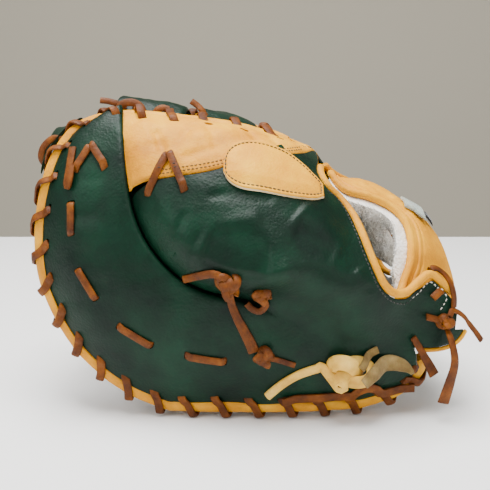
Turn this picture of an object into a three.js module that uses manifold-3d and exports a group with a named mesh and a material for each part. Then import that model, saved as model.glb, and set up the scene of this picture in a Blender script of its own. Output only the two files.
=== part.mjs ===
// A first baseman's mitt, lying palm down on the edges of its two halves.
// Millimetres, +Z up. The tip points to -X, the heel to +X, the finger half faces -Y and the thumb half +Y.
// Every piece is placed in mitt coordinates: a share s along the length (-1 tip, +1 heel), an angle round
// the mitt in degrees (0 on the half's own side, 90 on the ridge) and an offset outwards from the palm leather.
import * as THREE from "three";
import Module from "manifold-3d";
import { mergeVertices } from "three/addons/utils/BufferGeometryUtils.js";

const wasm = await Module();
wasm.setup();

// Driving sizes, in millimetres
const LENGTH = 306; // tip to heel
const HEIGHT = 212; // table to the top of the web
const PALM_FRONT = 74; // mid plane to the palm leather of the finger half
const PALM_BACK = 68; // mid plane to the palm leather of the thumb half
const FINGER_ROOM = 24; // room for the fingers above the padding
const THUMB_ROOM = 16; // room for the thumb above the padding
const PAD = 14.5; // leather and padding of the rims at their thickest
const EDGE_PAD = 6; // leather and padding of the rims at the laced edge
const SLOT_DEPTH = 7; // of the slot between rim and back
const SLOT_WIDTH = 1.6;
const PALM_LEATHER = 3;
const BACK_LEATHER = 2.6;
const PAD_LEATHER = 2; // of the index pad
const LINING_LEATHER = 1;
const BINDING_WIDTH = 6; // of the laced edge's binding, seen from the front
const BINDING_LIP = 0.8; // the binding stands proud of the leathers that it wraps
const PIPING = 3.2; // diameter of the piping round the heel
const ROLL = 5.6; // diameter of the rolled edge round the hand opening
const LACE_WIDTH = 5.2;
const LACE_THICK = 1.7;
const LACE_PITCH = 23.5; // from stitch to stitch along the finger half's edge
const THUMB_LACE_PITCH = 28;
const HOLE_INSET = 9.5; // from the middle of the binding to the lace holes
const STRAP_LEATHER = 3;
const FLEECE_THICK = 12;
const WEB_LEATHER = 5;
const THUMB_REACH = 0.93; // the thumb half's length towards the tip, as a share of the finger half's
const LAYER_GAP = 1.5; // felt between the palm and the rims
const SEAM_GAP = 0.4; // between pieces that touch
const HOLE_GAP = 1.1; // round a lace in its hole
const SEAM_SPLIT = 0.7; // from a seam to each of its leathers
const FIT_GAP = 2.2; // inside the curved palm, where flat facets stand off the leather
const INNER_GAP = 3.7; // under the palm, where the edge lace cuts across its curve
const STRAP_ROLL_GAP = 3.8;
const ROLL_GAP = 1.5; // between a roll and the slanting edge of its leather
const EDGE_GAP = 1.4; // between the binding and the leathers that end at it
const WEB_RISE = 7; // of the web above the edges that hold it

const HALF = LENGTH / 2;
const RAD = Math.PI / 180;
const RIDGE = 90;
const BACK_FRONT = PALM_FRONT + PAD + FINGER_ROOM;
const BACK_BACK = PALM_BACK + PAD + THUMB_ROOM;

// Cross-sections of the palm. axis and crown are shares of HEIGHT, front and back of the palm's two depths.
const PALM_SECTIONS = [
  { s: -1.0, axis: 0.462, front: 0.6, crown: 0.491, back: 0.59 },
  { s: -0.75, axis: 0.415, front: 0.81, crown: 0.557, back: 0.81 },
  { s: -0.4, axis: 0.368, front: 0.945, crown: 0.599, back: 0.94 },
  { s: 0.0, axis: 0.33, front: 1.0, crown: 0.599, back: 1.0 },
  { s: 0.28, axis: 0.294, front: 0.975, crown: 0.515, back: 0.975 },
  { s: 0.45, axis: 0.264, front: 0.92, crown: 0.34, back: 0.93 },
  { s: 0.65, axis: 0.226, front: 0.82, crown: 0.175, back: 0.85 },
  { s: 1.0, axis: 0.16, front: 0.595, crown: 0.085, back: 0.647 },
];
const CROWN_POWER = 2.3; // squareness of the palm's arch above the axis
const FOOT_SHARE = 2.2; // below the axis the wall is part of an ellipse this many axis heights deep

// Cross-sections of the backs: crown is a share of HEIGHT, front and back of BACK_FRONT and BACK_BACK.
const BACK_SECTIONS = [
  { s: -1.0, front: 0.536, crown: 0.547, back: 0.571 },
  { s: -0.75, front: 0.696, crown: 0.618, back: 0.724 },
  { s: -0.4, front: 0.875, crown: 0.656, back: 0.898 },
  { s: 0.0, front: 1.0, crown: 0.651, back: 1.0 },
  { s: 0.3, front: 1.0, crown: 0.561, back: 1.0 },
  { s: 0.42, front: 0.964, crown: 0.5, back: 0.98 },
  { s: 0.55, front: 0.911, crown: 0.5, back: 0.918 },
  { s: 0.7, front: 0.839, crown: 0.476, back: 0.857 },
  { s: 0.85, front: 0.714, crown: 0.425, back: 0.755 },
  { s: 1.0, front: 0.554, crown: 0.302, back: 0.612 },
];

// The outer edge of a half: from its heel corner along the foot, round the tip, back along the web to the
// crotch, then along the ridge of the palm to the heel. Angles too low for the table stop at the foot's height.
const EDGE = [
  { s: 0.93, angle: 24 },
  { s: 0.8, angle: 3 },
  { s: 0.8, angle: -14 },
  { s: 0.7, angle: -28 },
  { s: 0.46, angle: -37 },
  { s: 0.2, angle: -43 },
  { s: -0.1, angle: -46 },
  { s: -0.4, angle: -46 },
  { s: -0.66, angle: -42.6 },
  { s: -0.84, angle: -32 },
  { s: -0.935, angle: -12 },
  { s: -0.965, angle: 14 },
  { s: -0.955, angle: 42 },
  { s: -0.9, angle: 62 },
  { s: -0.78, angle: 74 },
  { s: -0.58, angle: 79.5 },
  { s: -0.36, angle: 79 },
  { s: -0.12, angle: 77.5 },
  { s: 0.1, angle: 79 },
  { s: 0.31, angle: 86 },
  { s: 0.52, angle: 88.8 },
  { s: 0.74, angle: 88.8 },
  { s: 0.93, angle: 88.8 },
];
const TIP_ROW = 11.5;
const CROTCH_ROW = 19;
const LAST_ROW = EDGE.length - 1;
const FIRST_LACE_ROW = 1.5;
const LAST_LACE_ROW = 18.1;
const BINDING_STRETCHES = [1.45, 2.4, 16.5, 18.4]; // heel end, past the heel corner, near the crotch, its end

// The line between rim and back, from the heel to the top; edge is the EDGE row that faces it.
const SLOT = [
  { s: 0.74, angle: 3.5, edge: 1.3 },
  { s: 0.69, angle: 5, edge: 2.3 },
  { s: 0.62, angle: 1, edge: 3.1 },
  { s: 0.52, angle: -2, edge: 3.7 },
  { s: 0.38, angle: -2, edge: 4.3 },
  { s: 0.22, angle: 2, edge: 4.9 },
  { s: 0.06, angle: 7.5, edge: 5.5 },
  { s: -0.06, angle: 10.6, edge: 6.0 },
  { s: -0.17, angle: 11.4, edge: 6.5 },
  { s: -0.28, angle: 15, edge: 7.2 },
  { s: -0.37, angle: 21.5, edge: 8.1 },
  { s: -0.44, angle: 29.5, edge: 9.2 },
  { s: -0.49, angle: 38, edge: 10.4 },
  { s: -0.522, angle: 47.5, edge: 11.7 },
  { s: -0.545, angle: 60, edge: 13.0 },
  { s: -0.562, angle: 70, edge: 14.1 },
  { s: -0.572, angle: 76, edge: 14.9 },
];
const SLOT_OPEN = 7; // the SLOT row where rim and back part
const SLOT_TOP = 16;

// The upper edge of the finger back: the hand opening up to its top corner, then the seam of the web panel.
// slot is the SLOT row that faces it; bow and sag bend the line between the two to the heel and downwards.
const FINGER_TOP = [
  { slot: 0, s: 0.985, angle: 50, bow: 0.1, sag: 10 },
  { slot: 0.35, s: 0.935, angle: 41, bow: 0.075, sag: 7 },
  { slot: 0.7, s: 0.872, angle: 40.5, bow: 0.05, sag: 4 },
  { slot: 1.1, s: 0.81, angle: 41.4, bow: 0.03, sag: 2 },
  { slot: 1.6, s: 0.75, angle: 35.6, bow: 0.01, sag: 0 },
  { slot: 2.3, s: 0.69, angle: 28.9, bow: 0, sag: 0 },
  { slot: 3.0, s: 0.63, angle: 26.3, bow: 0, sag: 0 },
  { slot: 3.8, s: 0.573, angle: 28.4, bow: 0, sag: 0 },
  { slot: 4.7, s: 0.528, angle: 36.3, bow: 0, sag: 0 },
  { slot: 5.6, s: 0.491, angle: 45.7, bow: 0, sag: 0 },
  { slot: 6.5, s: 0.455, angle: 54.1, bow: 0, sag: 0 },
  { slot: 7.4, s: 0.406, angle: 60, bow: 0, sag: 0 },
  { slot: 8.2, s: 0.345, angle: 62, bow: 0, sag: 0 },
  { slot: 8.8, s: 0.322, angle: 67, bow: 0, sag: 0 },
  { slot: 9.4, s: 0.332, angle: 77, bow: 0, sag: 0 },
  { slot: 9.9, s: 0.325, angle: 85.5, bow: 0, sag: 0 },
  { slot: 10.5, s: 0.25, angle: 72, bow: 0, sag: 0 },
  { slot: 11.2, s: 0.14, angle: 63, bow: 0, sag: 0 },
  { slot: 11.8, s: 0.02, angle: 57.8, bow: 0, sag: 0 },
  { slot: 12.3, s: -0.16, angle: 52, bow: 0, sag: 0 },
  { slot: 12.9, s: -0.49, angle: 48, bow: 0, sag: 0 },
];

// The same for the thumb back
const THUMB_TOP = [
  { slot: 0, s: 0.985, angle: 46, bow: 0.09, sag: 9 },
  { slot: 0.35, s: 0.93, angle: 38, bow: 0.07, sag: 6 },
  { slot: 0.7, s: 0.875, angle: 31, bow: 0.04, sag: 3 },
  { slot: 1.2, s: 0.82, angle: 24, bow: 0.01, sag: 0 },
  { slot: 1.9, s: 0.77, angle: 20.5, bow: 0, sag: 0 },
  { slot: 2.8, s: 0.725, angle: 22.5, bow: 0, sag: 0 },
  { slot: 3.9, s: 0.695, angle: 31, bow: 0, sag: 0 },
  { slot: 5.0, s: 0.67, angle: 42, bow: 0, sag: 0 },
  { slot: 6.2, s: 0.63, angle: 54, bow: 0, sag: 0 },
  { slot: 7.3, s: 0.56, angle: 65, bow: 0, sag: 0 },
  { slot: 8.3, s: 0.46, angle: 74, bow: 0, sag: 0 },
  { slot: 9.1, s: 0.37, angle: 80, bow: 0, sag: 0 },
  { slot: 9.9, s: 0.32, angle: 85.5, bow: 0, sag: 0 },
  { slot: 10.5, s: 0.25, angle: 72, bow: 0, sag: 0 },
  { slot: 11.2, s: 0.14, angle: 63, bow: 0, sag: 0 },
  { slot: 11.8, s: 0.02, angle: 57.8, bow: 0, sag: 0 },
  { slot: 12.3, s: -0.16, angle: 52, bow: 0, sag: 0 },
  { slot: 12.9, s: -0.49, angle: 48, bow: 0, sag: 0 },
];
const CORNER = 9.9; // slot key of the top corner, where opening and seam meet
const SEAM_END = 12.9; // slot key where the seam meets the slot

// The wrist strap from the finger heel over the wrist to the thumb heel, in angles of the finger half.
// left and right are its two edges; depth is how far it lies under the backs, in strap thicknesses.
const STRAP = [
  { left: 0.655, leftAngle: 25, right: 0.9, rightAngle: 30, depth: 4.2 },
  { left: 0.69, leftAngle: 36, right: 0.955, rightAngle: 45, depth: 4.0 },
  { left: 0.725, leftAngle: 46, right: 0.975, rightAngle: 58, depth: 3.1 },
  { left: 0.735, leftAngle: 56, right: 0.955, rightAngle: 69, depth: 1.5 },
  { left: 0.715, leftAngle: 65, right: 0.93, rightAngle: 78, depth: 0.4 },
  { left: 0.655, leftAngle: 69.6, right: 0.9, rightAngle: 86, depth: 0.4 },
  { left: 0.58, leftAngle: 70, right: 0.87, rightAngle: 93, depth: 0.4 },
  { left: 0.5, leftAngle: 69.7, right: 0.845, rightAngle: 99, depth: 0.4 },
  { left: 0.44, leftAngle: 71, right: 0.82, rightAngle: 104, depth: 0.4 },
  { left: 0.4, leftAngle: 76, right: 0.8, rightAngle: 109, depth: 0.5 },
  { left: 0.392, leftAngle: 85, right: 0.79, rightAngle: 114, depth: 1.0 },
  { left: 0.41, leftAngle: 96, right: 0.795, rightAngle: 120, depth: 2.0 },
  { left: 0.45, leftAngle: 108, right: 0.815, rightAngle: 127, depth: 2.6 },
  { left: 0.52, leftAngle: 120, right: 0.86, rightAngle: 135, depth: 2.7 },
  { left: 0.61, leftAngle: 132, right: 0.9, rightAngle: 142, depth: 2.7 },
  { left: 0.69, leftAngle: 143, right: 0.93, rightAngle: 149, depth: 2.7 },
];

const GREEN = { color: 0x1f4a3b, roughness: 0.5, metalness: 0 };
const TAN = { color: 0xdcc08a, roughness: 0.6, metalness: 0 };
const LACE = { color: 0x9c5a28, roughness: 0.55, metalness: 0 };
const SUEDE = { color: 0xcdb98f, roughness: 0.95, metalness: 0 };
const FLEECE = { color: 0xc8c5be, roughness: 1, metalness: 0 };
const TAB_LOOK = { color: 0x8f9a90, roughness: 0.9, metalness: 0 };
const LINING = { color: 0x16191a, roughness: 0.8, metalness: 0 };

// A table read between its rows along a smooth curve
class Table {
  constructor(rows, key) {
    this.keys = rows.map((row, i) => (key ? row[key] : i));
    this.columns = {};
    for (const name of Object.keys(rows[0])) this.columns[name] = rows.map((row) => row[name]);
  }
  slope(values, i) {
    const before = Math.max(i - 1, 0);
    const after = Math.min(i + 1, values.length - 1);
    return (values[after] - values[before]) / (this.keys[after] - this.keys[before]);
  }
  at(name, where) {
    const { keys } = this;
    const values = this.columns[name];
    const x = THREE.MathUtils.clamp(where, keys[0], keys[keys.length - 1]);
    let i = 0;
    while (i < keys.length - 2 && keys[i + 1] < x) i += 1;
    const step = keys[i + 1] - keys[i];
    const t = (x - keys[i]) / step;
    const t2 = t * t;
    const t3 = t2 * t;
    const rise = this.slope(values, i) * step;
    const fall = this.slope(values, i + 1) * step;
    return (2 * t3 - 3 * t2 + 1) * values[i] + (t3 - 2 * t2 + t) * rise
      + (3 * t2 - 2 * t3) * values[i + 1] + (t3 - t2) * fall;
  }
}
const palmTable = new Table(PALM_SECTIONS, "s");
const backTable = new Table(BACK_SECTIONS, "s");
const edgeTable = new Table(EDGE);
const slotTable = new Table(SLOT);
const strapTable = new Table(STRAP);

// The mitt's two halves. The thumb half mirrors the finger half and reaches less far.
const FINGER = {
  name: "finger",
  share: (s) => s,
  turn: (angle) => angle,
  pitch: LACE_PITCH,
  top: new Table(FINGER_TOP, "slot"),
};
const THUMB = {
  name: "thumb",
  share: (s) => s + (1 - THUMB_REACH) * ((1 - s) / 2) ** 2,
  turn: (angle) => 2 * RIDGE - angle,
  pitch: THUMB_LACE_PITCH,
  top: new Table(THUMB_TOP, "slot"),
};

function spot(s, angle) {
  return { s, angle };
}
function mix(a, b, w) {
  return spot(a.s + (b.s - a.s) * w, a.angle + (b.angle - a.angle) * w);
}
function smooth(x) {
  const t = THREE.MathUtils.clamp(x, 0, 1);
  return t * t * (3 - 2 * t);
}
function superRadius(cos, sin, wide, tall, power) {
  return (Math.abs(cos / wide) ** power + Math.abs(sin / tall) ** power) ** (-1 / power);
}
function footDepth(s) {
  return FOOT_SHARE * HEIGHT * palmTable.at("axis", s);
}
function palmRadius(s, angle) {
  const cos = Math.cos(angle * RAD);
  const sin = Math.sin(angle * RAD);
  const wide = cos > 0 ? PALM_FRONT * palmTable.at("front", s) : PALM_BACK * palmTable.at("back", s);
  if (sin < 0) return superRadius(cos, sin, wide, footDepth(s), 2);
  return superRadius(cos, sin, wide, HEIGHT * palmTable.at("crown", s), CROWN_POWER);
}
function backRadius(s, angle) {
  const cos = Math.cos(angle * RAD);
  const sin = Math.sin(angle * RAD);
  const wide = cos > 0 ? BACK_FRONT * backTable.at("front", s) : BACK_BACK * backTable.at("back", s);
  const tall = sin > 0 ? HEIGHT * backTable.at("crown", s) : footDepth(s);
  return superRadius(cos, sin, wide, tall, 2);
}

// The point of one half's surface at a spot, an offset outwards from the palm leather
function place(side, at, offset) {
  const s = side.share(at.s);
  const angle = side.turn(at.angle);
  const radius = palmRadius(s, angle) + offset;
  const axis = HEIGHT * palmTable.at("axis", s);
  return new THREE.Vector3(s * HALF, -radius * Math.cos(angle * RAD), axis + radius * Math.sin(angle * RAD));
}
// The offset of the outside of the back
function swell(side, at) {
  const s = side.share(at.s);
  const angle = side.turn(at.angle);
  return backRadius(s, angle) - palmRadius(s, angle);
}
// Directions at a spot: along the length, round the mitt, square to the leather, and out from the axis
function frame(side, at, offset) {
  const step = 0.002;
  const along = place(side, spot(at.s + step, at.angle), offset)
    .sub(place(side, spot(at.s - step, at.angle), offset)).divideScalar(2 * step);
  const about = place(side, spot(at.s, at.angle + 1), offset)
    .sub(place(side, spot(at.s, at.angle - 1), offset)).divideScalar(2);
  const angle = side.turn(at.angle) * RAD;
  const out = new THREE.Vector3(0, -Math.cos(angle), Math.sin(angle));
  const normal = new THREE.Vector3().crossVectors(along, about).normalize();
  if (normal.dot(out) < 0) normal.negate();
  return { along, about, normal, out };
}
// A spot moved by millimetres over the leather in the direction of a vector
function moved(side, at, offset, direction, distance) {
  const { along, about } = frame(side, at, offset);
  const aa = along.dot(along);
  const ar = along.dot(about);
  const rr = about.dot(about);
  const da = along.dot(direction);
  const dr = about.dot(direction);
  const det = aa * rr - ar * ar;
  const ds = (da * rr - dr * ar) / det;
  const dangle = (dr * aa - da * ar) / det;
  return spot(at.s + ds * distance, at.angle + dangle * distance);
}
// The lowest angle at which the edge's binding and its lace still stand on the table
const BINDING_DEPTH = EDGE_PAD + PALM_LEATHER + 2 * BINDING_LIP;
const FOOT_TILT = 43; // the wall's lean where it meets the table
const FOOT_HEIGHT = (BINDING_WIDTH / 2 + SEAM_GAP + LACE_THICK) * Math.cos(FOOT_TILT * RAD)
  + (BINDING_DEPTH / 2 + SEAM_GAP + LACE_THICK) * Math.sin(FOOT_TILT * RAD);
function footAngle(side, s) {
  let low = -75;
  let high = 0;
  for (let i = 0; i < 24; i += 1) {
    const middle = (low + high) / 2;
    if (place(side, spot(s, middle), EDGE_MIDDLE).z < FOOT_HEIGHT) low = middle;
    else high = middle;
  }
  return high;
}
const EDGE_MIDDLE = (EDGE_PAD - PALM_LEATHER) / 2;
function edgeLine(side, row) {
  const s = edgeTable.at("s", row);
  const angle = edgeTable.at("angle", row);
  return spot(s, angle < 0 ? Math.max(angle, footAngle(side, s)) : angle);
}
// The edge at a row with its directions: on along the edge, inwards over the leather, and out of it
function edgeFrame(side, row) {
  const at = edgeLine(side, row);
  const step = 0.08;
  const on = place(side, edgeLine(side, Math.min(row + step, LAST_ROW)), 0)
    .sub(place(side, edgeLine(side, Math.max(row - step, 0)), 0)).normalize();
  const { normal, out } = frame(side, at, 0);
  const inwards = new THREE.Vector3().crossVectors(normal, on).normalize();
  const middle = place(side, spot(0, 25), 0);
  if (row > CROTCH_ROW - 1) middle.copy(place(side, spot(at.s, 40), 0));
  if (inwards.dot(middle.sub(place(side, at, 0))) < 0) inwards.negate();
  return { at, on, inwards, out };
}
function inset(side, row, distance) {
  const { at, inwards } = edgeFrame(side, row);
  return moved(side, at, 0, inwards, distance);
}
const TRIM = BINDING_WIDTH / 2 + EDGE_GAP;

function slotLine(t) {
  return spot(slotTable.at("s", t), slotTable.at("angle", t));
}
function topLine(side, t) {
  return spot(side.top.at("s", t), side.top.at("angle", t));
}
// The share of the way from a to b that ends a distance short of a line through b, square to the line
function shortOf(side, a, b, offset, on, distance) {
  const way = place(side, b, offset).sub(place(side, mix(a, b, 0.98), offset)).divideScalar(0.02);
  return Math.min(distance / way.cross(on).length(), 0.4);
}
function span(side, a, b) {
  return place(side, a, 0).distanceTo(place(side, b, 0));
}

// Thickness of the rim, from the laced edge (0) to the slot (1)
function rimOffset(w) {
  const rise = 1 - (1 - Math.min(w / 0.62, 1)) ** 2;
  return EDGE_PAD + (PAD - EDGE_PAD) * rise;
}
// Where rim and back part, the back starts low in the slot. Towards the heel they run into each other.
function openness(t) {
  return smooth((t - SLOT_OPEN + 1.5) / 1.5);
}
function backOffset(side, t, at, distance) {
  const open = openness(t);
  const start = PAD - SLOT_DEPTH * open;
  const reach = 42 - 22 * open;
  const rise = Math.sin((Math.PI / 2) * Math.min(distance / reach, 1));
  const soft = smooth(distance / reach);
  return start + (Math.max(swell(side, at), start) - start) * (open * rise + (1 - open) * soft);
}
// The upper edge of the back in space: its offset, a point at a depth in the leather, and its direction
function topOffset(side, t) {
  const at = topLine(side, t);
  return backOffset(side, t, at, span(side, slotLine(t), at));
}
function topPoint(side, t, depth) {
  return place(side, topLine(side, t), topOffset(side, t) - depth);
}
function topDirection(side, t) {
  const step = 0.04;
  return topPoint(side, t + step, 0).sub(topPoint(side, t - step, 0)).normalize();
}
function backInner(outer, distance) {
  const hollow = smooth((distance - 3) / 16);
  return LAYER_GAP + Math.max(outer - BACK_LEATHER - LAYER_GAP, 0) * hollow;
}

function geometry(positions, triangles) {
  const index = [];
  for (const [a, b, c] of triangles) {
    if (a !== b && b !== c && a !== c) index.push(a, b, c);
  }
  let volume = 0;
  for (let i = 0; i < index.length; i += 3) {
    const [a, b, c] = [positions[index[i]], positions[index[i + 1]], positions[index[i + 2]]];
    volume += a.dot(new THREE.Vector3().crossVectors(b, c));
  }
  if (volume < 0) index.reverse();
  const shape = new THREE.BufferGeometry();
  shape.setAttribute("position", new THREE.Float32BufferAttribute(positions.flatMap((p) => p.toArray()), 3));
  shape.setIndex(index);
  return shape;
}

// A wall of leather: two grids of points and side walls round every stretch that is kept
function wall(outer, inner, keep = () => true) {
  const rows = outer.length;
  const cols = outer[0].length;
  const positions = [...outer.flat(), ...inner.flat()];
  const count = rows * cols;
  const number = (i, j) => i * cols + j;
  const kept = (i, j) => i >= 0 && j >= 0 && i < rows - 1 && j < cols - 1 && keep(i, j);
  const triangles = [];
  const quad = (a, b, c, d) => triangles.push([a, b, c], [a, c, d]);
  const length = (a, b) => positions[a].distanceTo(positions[b]);
  for (let i = 0; i < rows - 1; i += 1) {
    for (let j = 0; j < cols - 1; j += 1) {
      if (!kept(i, j)) continue;
      const [a, b, c, d] = [number(i, j), number(i + 1, j), number(i + 1, j + 1), number(i, j + 1)];
      if (length(a, c) <= length(b, d)) {
        quad(a, b, c, d);
        quad(count + a, count + d, count + c, count + b);
      } else {
        quad(b, c, d, a);
        quad(count + b, count + a, count + d, count + c);
      }
      if (!kept(i, j - 1)) quad(b, a, count + a, count + b);
      if (!kept(i, j + 1)) quad(d, c, count + c, count + d);
      if (!kept(i - 1, j)) quad(a, d, count + d, count + a);
      if (!kept(i + 1, j)) quad(c, b, count + b, count + c);
    }
  }
  const used = [...new Set(triangles.flat())];
  const renumber = new Map(used.map((old, i) => [old, i]));
  return geometry(used.map((i) => positions[i]), triangles.map((t) => t.map((i) => renumber.get(i))));
}

// A closed body through rings of points, with flat ends
function loft(rings) {
  const size = rings[0].length;
  const positions = rings.flat();
  const triangles = [];
  for (let i = 0; i < rings.length - 1; i += 1) {
    for (let j = 0; j < size; j += 1) {
      const k = (j + 1) % size;
      const [a, b] = [i * size + j, i * size + k];
      triangles.push([a, b, b + size], [a, b + size, a + size]);
    }
  }
  const last = (rings.length - 1) * size;
  for (let j = 1; j < size - 1; j += 1) {
    triangles.push([0, j + 1, j], [last, last + j, last + j + 1]);
  }
  return geometry(positions, triangles);
}

// A flat lace through stations, each with a point and the direction of the lace's width
function flatLace(stations, width = LACE_WIDTH, thick = LACE_THICK) {
  const rings = stations.map(({ point, across }, i) => {
    const before = stations[Math.max(i - 1, 0)].point;
    const after = stations[Math.min(i + 1, stations.length - 1)].point;
    const into = point.clone().sub(before);
    const onward = after.clone().sub(point);
    if (i === 0) into.copy(onward);
    if (i === stations.length - 1) onward.copy(into);
    const first = new THREE.Vector3().crossVectors(into, across).normalize();
    const second = new THREE.Vector3().crossVectors(onward, across).normalize();
    const face = first.clone().add(second).normalize();
    face.multiplyScalar(thick / 2 / Math.max(face.dot(second), 0.5));
    const half = across.clone().setLength(width / 2);
    return [[1, 1], [-1, 1], [-1, -1], [1, -1]].map(([w, t]) =>
      point.clone().addScaledVector(half, w).addScaledVector(face, t));
  });
  return loft(rings);
}

// A round roll or piping with a ring at each point, turned as little as possible from ring to ring
function tube(points, diameter, sides = 6) {
  let across = new THREE.Vector3(0, 0, 1);
  const rings = points.map((point, i) => {
    const before = points[Math.max(i - 1, 0)];
    const after = points[Math.min(i + 1, points.length - 1)];
    const on = after.clone().sub(before).normalize();
    across = across.clone().addScaledVector(on, -across.dot(on)).normalize();
    const other = new THREE.Vector3().crossVectors(on, across);
    return Array.from({ length: sides }, (_, k) => {
      const angle = (2 * Math.PI * k) / sides;
      return point.clone().addScaledVector(across, Math.cos(angle) * diameter / 2)
        .addScaledVector(other, Math.sin(angle) * diameter / 2);
    });
  });
  return loft(rings);
}

// Joins and cuts
function solid(shape) {
  const bare = shape.clone();
  bare.deleteAttribute("normal");
  bare.deleteAttribute("uv");
  const merged = mergeVertices(bare, 1e-4);
  const mesh = new wasm.Mesh({
    numProp: 3,
    vertProperties: new Float32Array(merged.attributes.position.array),
    triVerts: new Uint32Array(merged.index.array),
  });
  return new wasm.Manifold(mesh);
}
function shapeOf(body) {
  const mesh = body.getMesh();
  const shape = new THREE.BufferGeometry();
  shape.setAttribute("position", new THREE.BufferAttribute(new Float32Array(mesh.vertProperties), 3));
  shape.setIndex(new THREE.BufferAttribute(new Uint32Array(mesh.triVerts), 1));
  return shape;
}
function cut(shape, cutters) {
  let body = solid(shape);
  for (const cutter of cutters) body = body.subtract(solid(cutter));
  return shapeOf(body);
}
function join(shapes) {
  let body = solid(shapes[0]);
  for (const shape of shapes.slice(1)) body = body.add(solid(shape));
  return shapeOf(body);
}

const mitt = new THREE.Group();
function piece(name, shape, look) {
  const mesh = new THREE.Mesh(shape, new THREE.MeshStandardMaterial(look));
  mesh.name = name;
  mitt.add(mesh);
  return mesh;
}

// Lace holes: a hole goes straight through the leathers at a spot, wide across the edge direction
function hole(side, at, across) {
  const { out } = frame(side, at, 0);
  const low = place(side, at, -PALM_LEATHER - 8);
  const reach = PALM_LEATHER + 8 + PAD + 8;
  const high = low.clone().addScaledVector(out, reach);
  const stations = [low, high].map((point) => ({ point, across }));
  return flatLace(stations, LACE_WIDTH + 2 * HOLE_GAP, LACE_THICK + 2 * HOLE_GAP);
}

// The whip lace of one half: out of a hole, over the binding to the inside, and through the next hole
const OUTER_RUN = HOLE_GAP + LACE_THICK / 2;
const INNER_RUN = INNER_GAP + LACE_THICK / 2;

function edgeRows(side, from, to, pitch) {
  const fine = 600;
  const lengths = [0];
  let last = place(side, edgeLine(side, from), 0);
  for (let i = 1; i <= fine; i += 1) {
    const next = place(side, edgeLine(side, from + ((to - from) * i) / fine), 0);
    lengths.push(lengths[i - 1] + next.distanceTo(last));
    last = next;
  }
  const total = lengths[fine];
  const count = Math.round(total / pitch);
  const rows = [];
  let i = 0;
  for (let k = 0; k <= count; k += 1) {
    const wanted = (total * k) / count;
    while (i < fine - 1 && lengths[i + 1] < wanted) i += 1;
    const share = (wanted - lengths[i]) / Math.max(lengths[i + 1] - lengths[i], 1e-6);
    rows.push(from + ((to - from) * (i + Math.min(share, 1))) / fine);
  }
  return rows;
}
const rimAtHole = (side, row) => {
  const at = inset(side, row, HOLE_INSET);
  const t = slotAtEdge(row);
  const width = span(side, edgeLine(side, row), slotLine(t));
  return { at, offset: rimOffset((HOLE_INSET - TRIM) / Math.max(width - TRIM, 1)) };
};
function slotAtEdge(row) {
  let low = 0;
  let high = SLOT_TOP;
  for (let i = 0; i < 24; i += 1) {
    const middle = (low + high) / 2;
    if (slotTable.at("edge", middle) < row) low = middle;
    else high = middle;
  }
  return high;
}
function whip(side, rows) {
  const stations = [];
  const holes = [];
  const far = BINDING_WIDTH / 2 + OUTER_RUN;
  const top = BINDING_DEPTH / 2 + OUTER_RUN;
  rows.forEach((row, k) => {
    const { at, offset } = rimAtHole(side, row);
    const edge = edgeFrame(side, row);
    const across = edge.on;
    const inner = place(side, at, -PALM_LEATHER - INNER_RUN);
    const { out } = frame(side, at, 0);
    const depth = PALM_LEATHER + INNER_RUN + offset + OUTER_RUN + 1.5 * EDGE_GAP;
    stations.push({ point: inner, across });
    stations.push({ point: inner.clone().addScaledVector(out, depth), across });
    holes.push(hole(side, at, across));
    if (k === rows.length - 1) return;
    for (const [share, height] of [[0.34, top], [0.62, -top - FIT_GAP / 2]]) {
      const over = edgeFrame(side, row + (rows[k + 1] - row) * share);
      const point = place(side, over.at, EDGE_MIDDLE)
        .addScaledVector(over.inwards, -far).addScaledVector(over.out, height);
      stations.push({ point, across: over.on });
    }
  });
  return { shape: flatLace(stations), holes };
}

// The palm of both halves is one leather: columns across the finger half, over the ridge and the thumb half
const PALM_ROWS = [0, 0.09, 0.135, 0.18, 0.235, 3 / 10.5, 0.315, 0.36, 0.42, 0.49, 0.56, 0.63, 0.7, 0.77, 0.83,
  0.885, 0.925, 0.955, 0.98];
const PALM_COLUMNS = [0, 0.12, 0.4, 0.72, 1];
const CROTCH_SHARE = (LAST_ROW - CROTCH_ROW) / (LAST_ROW - TIP_ROW);
function palmSpot(side, v, w) {
  const low = inset(side, TIP_ROW * v, TRIM);
  const highRow = LAST_ROW - (LAST_ROW - TIP_ROW) * v;
  const high = v <= CROTCH_SHARE + 1e-6 ? edgeLine(side, highRow) : inset(side, highRow, TRIM);
  return mix(low, high, w);
}
function palmGrid(offset) {
  return PALM_ROWS.map((v) => {
    const near = PALM_COLUMNS.map((w) => place(FINGER, palmSpot(FINGER, v, w), offset));
    const far = PALM_COLUMNS.map((w) => place(THUMB, palmSpot(THUMB, v, w), offset)).reverse();
    return [...near, ...far];
  });
}
const LINED_ROWS = 5;
const MIDDLE_COLUMN = PALM_COLUMNS.length - 1;
function buildPalm(holes) {
  const bridge = (i, j) => j !== MIDDLE_COLUMN || PALM_ROWS[i + 1] <= CROTCH_SHARE + 1e-6;
  const leather = wall(palmGrid(0), palmGrid(-PALM_LEATHER), bridge);
  piece("palm", cut(leather, holes), GREEN);
  const lined = (i, j) => {
    const column = j < PALM_COLUMNS.length ? j : 2 * PALM_COLUMNS.length - 2 - j;
    return column >= 2 && i < LINED_ROWS && bridge(i, j);
  };
  const low = palmGrid(SEAM_GAP);
  const high = palmGrid(SEAM_GAP + LINING_LEATHER);
  piece("hand_lining", wall(high, low, lined), LINING);
}

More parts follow.
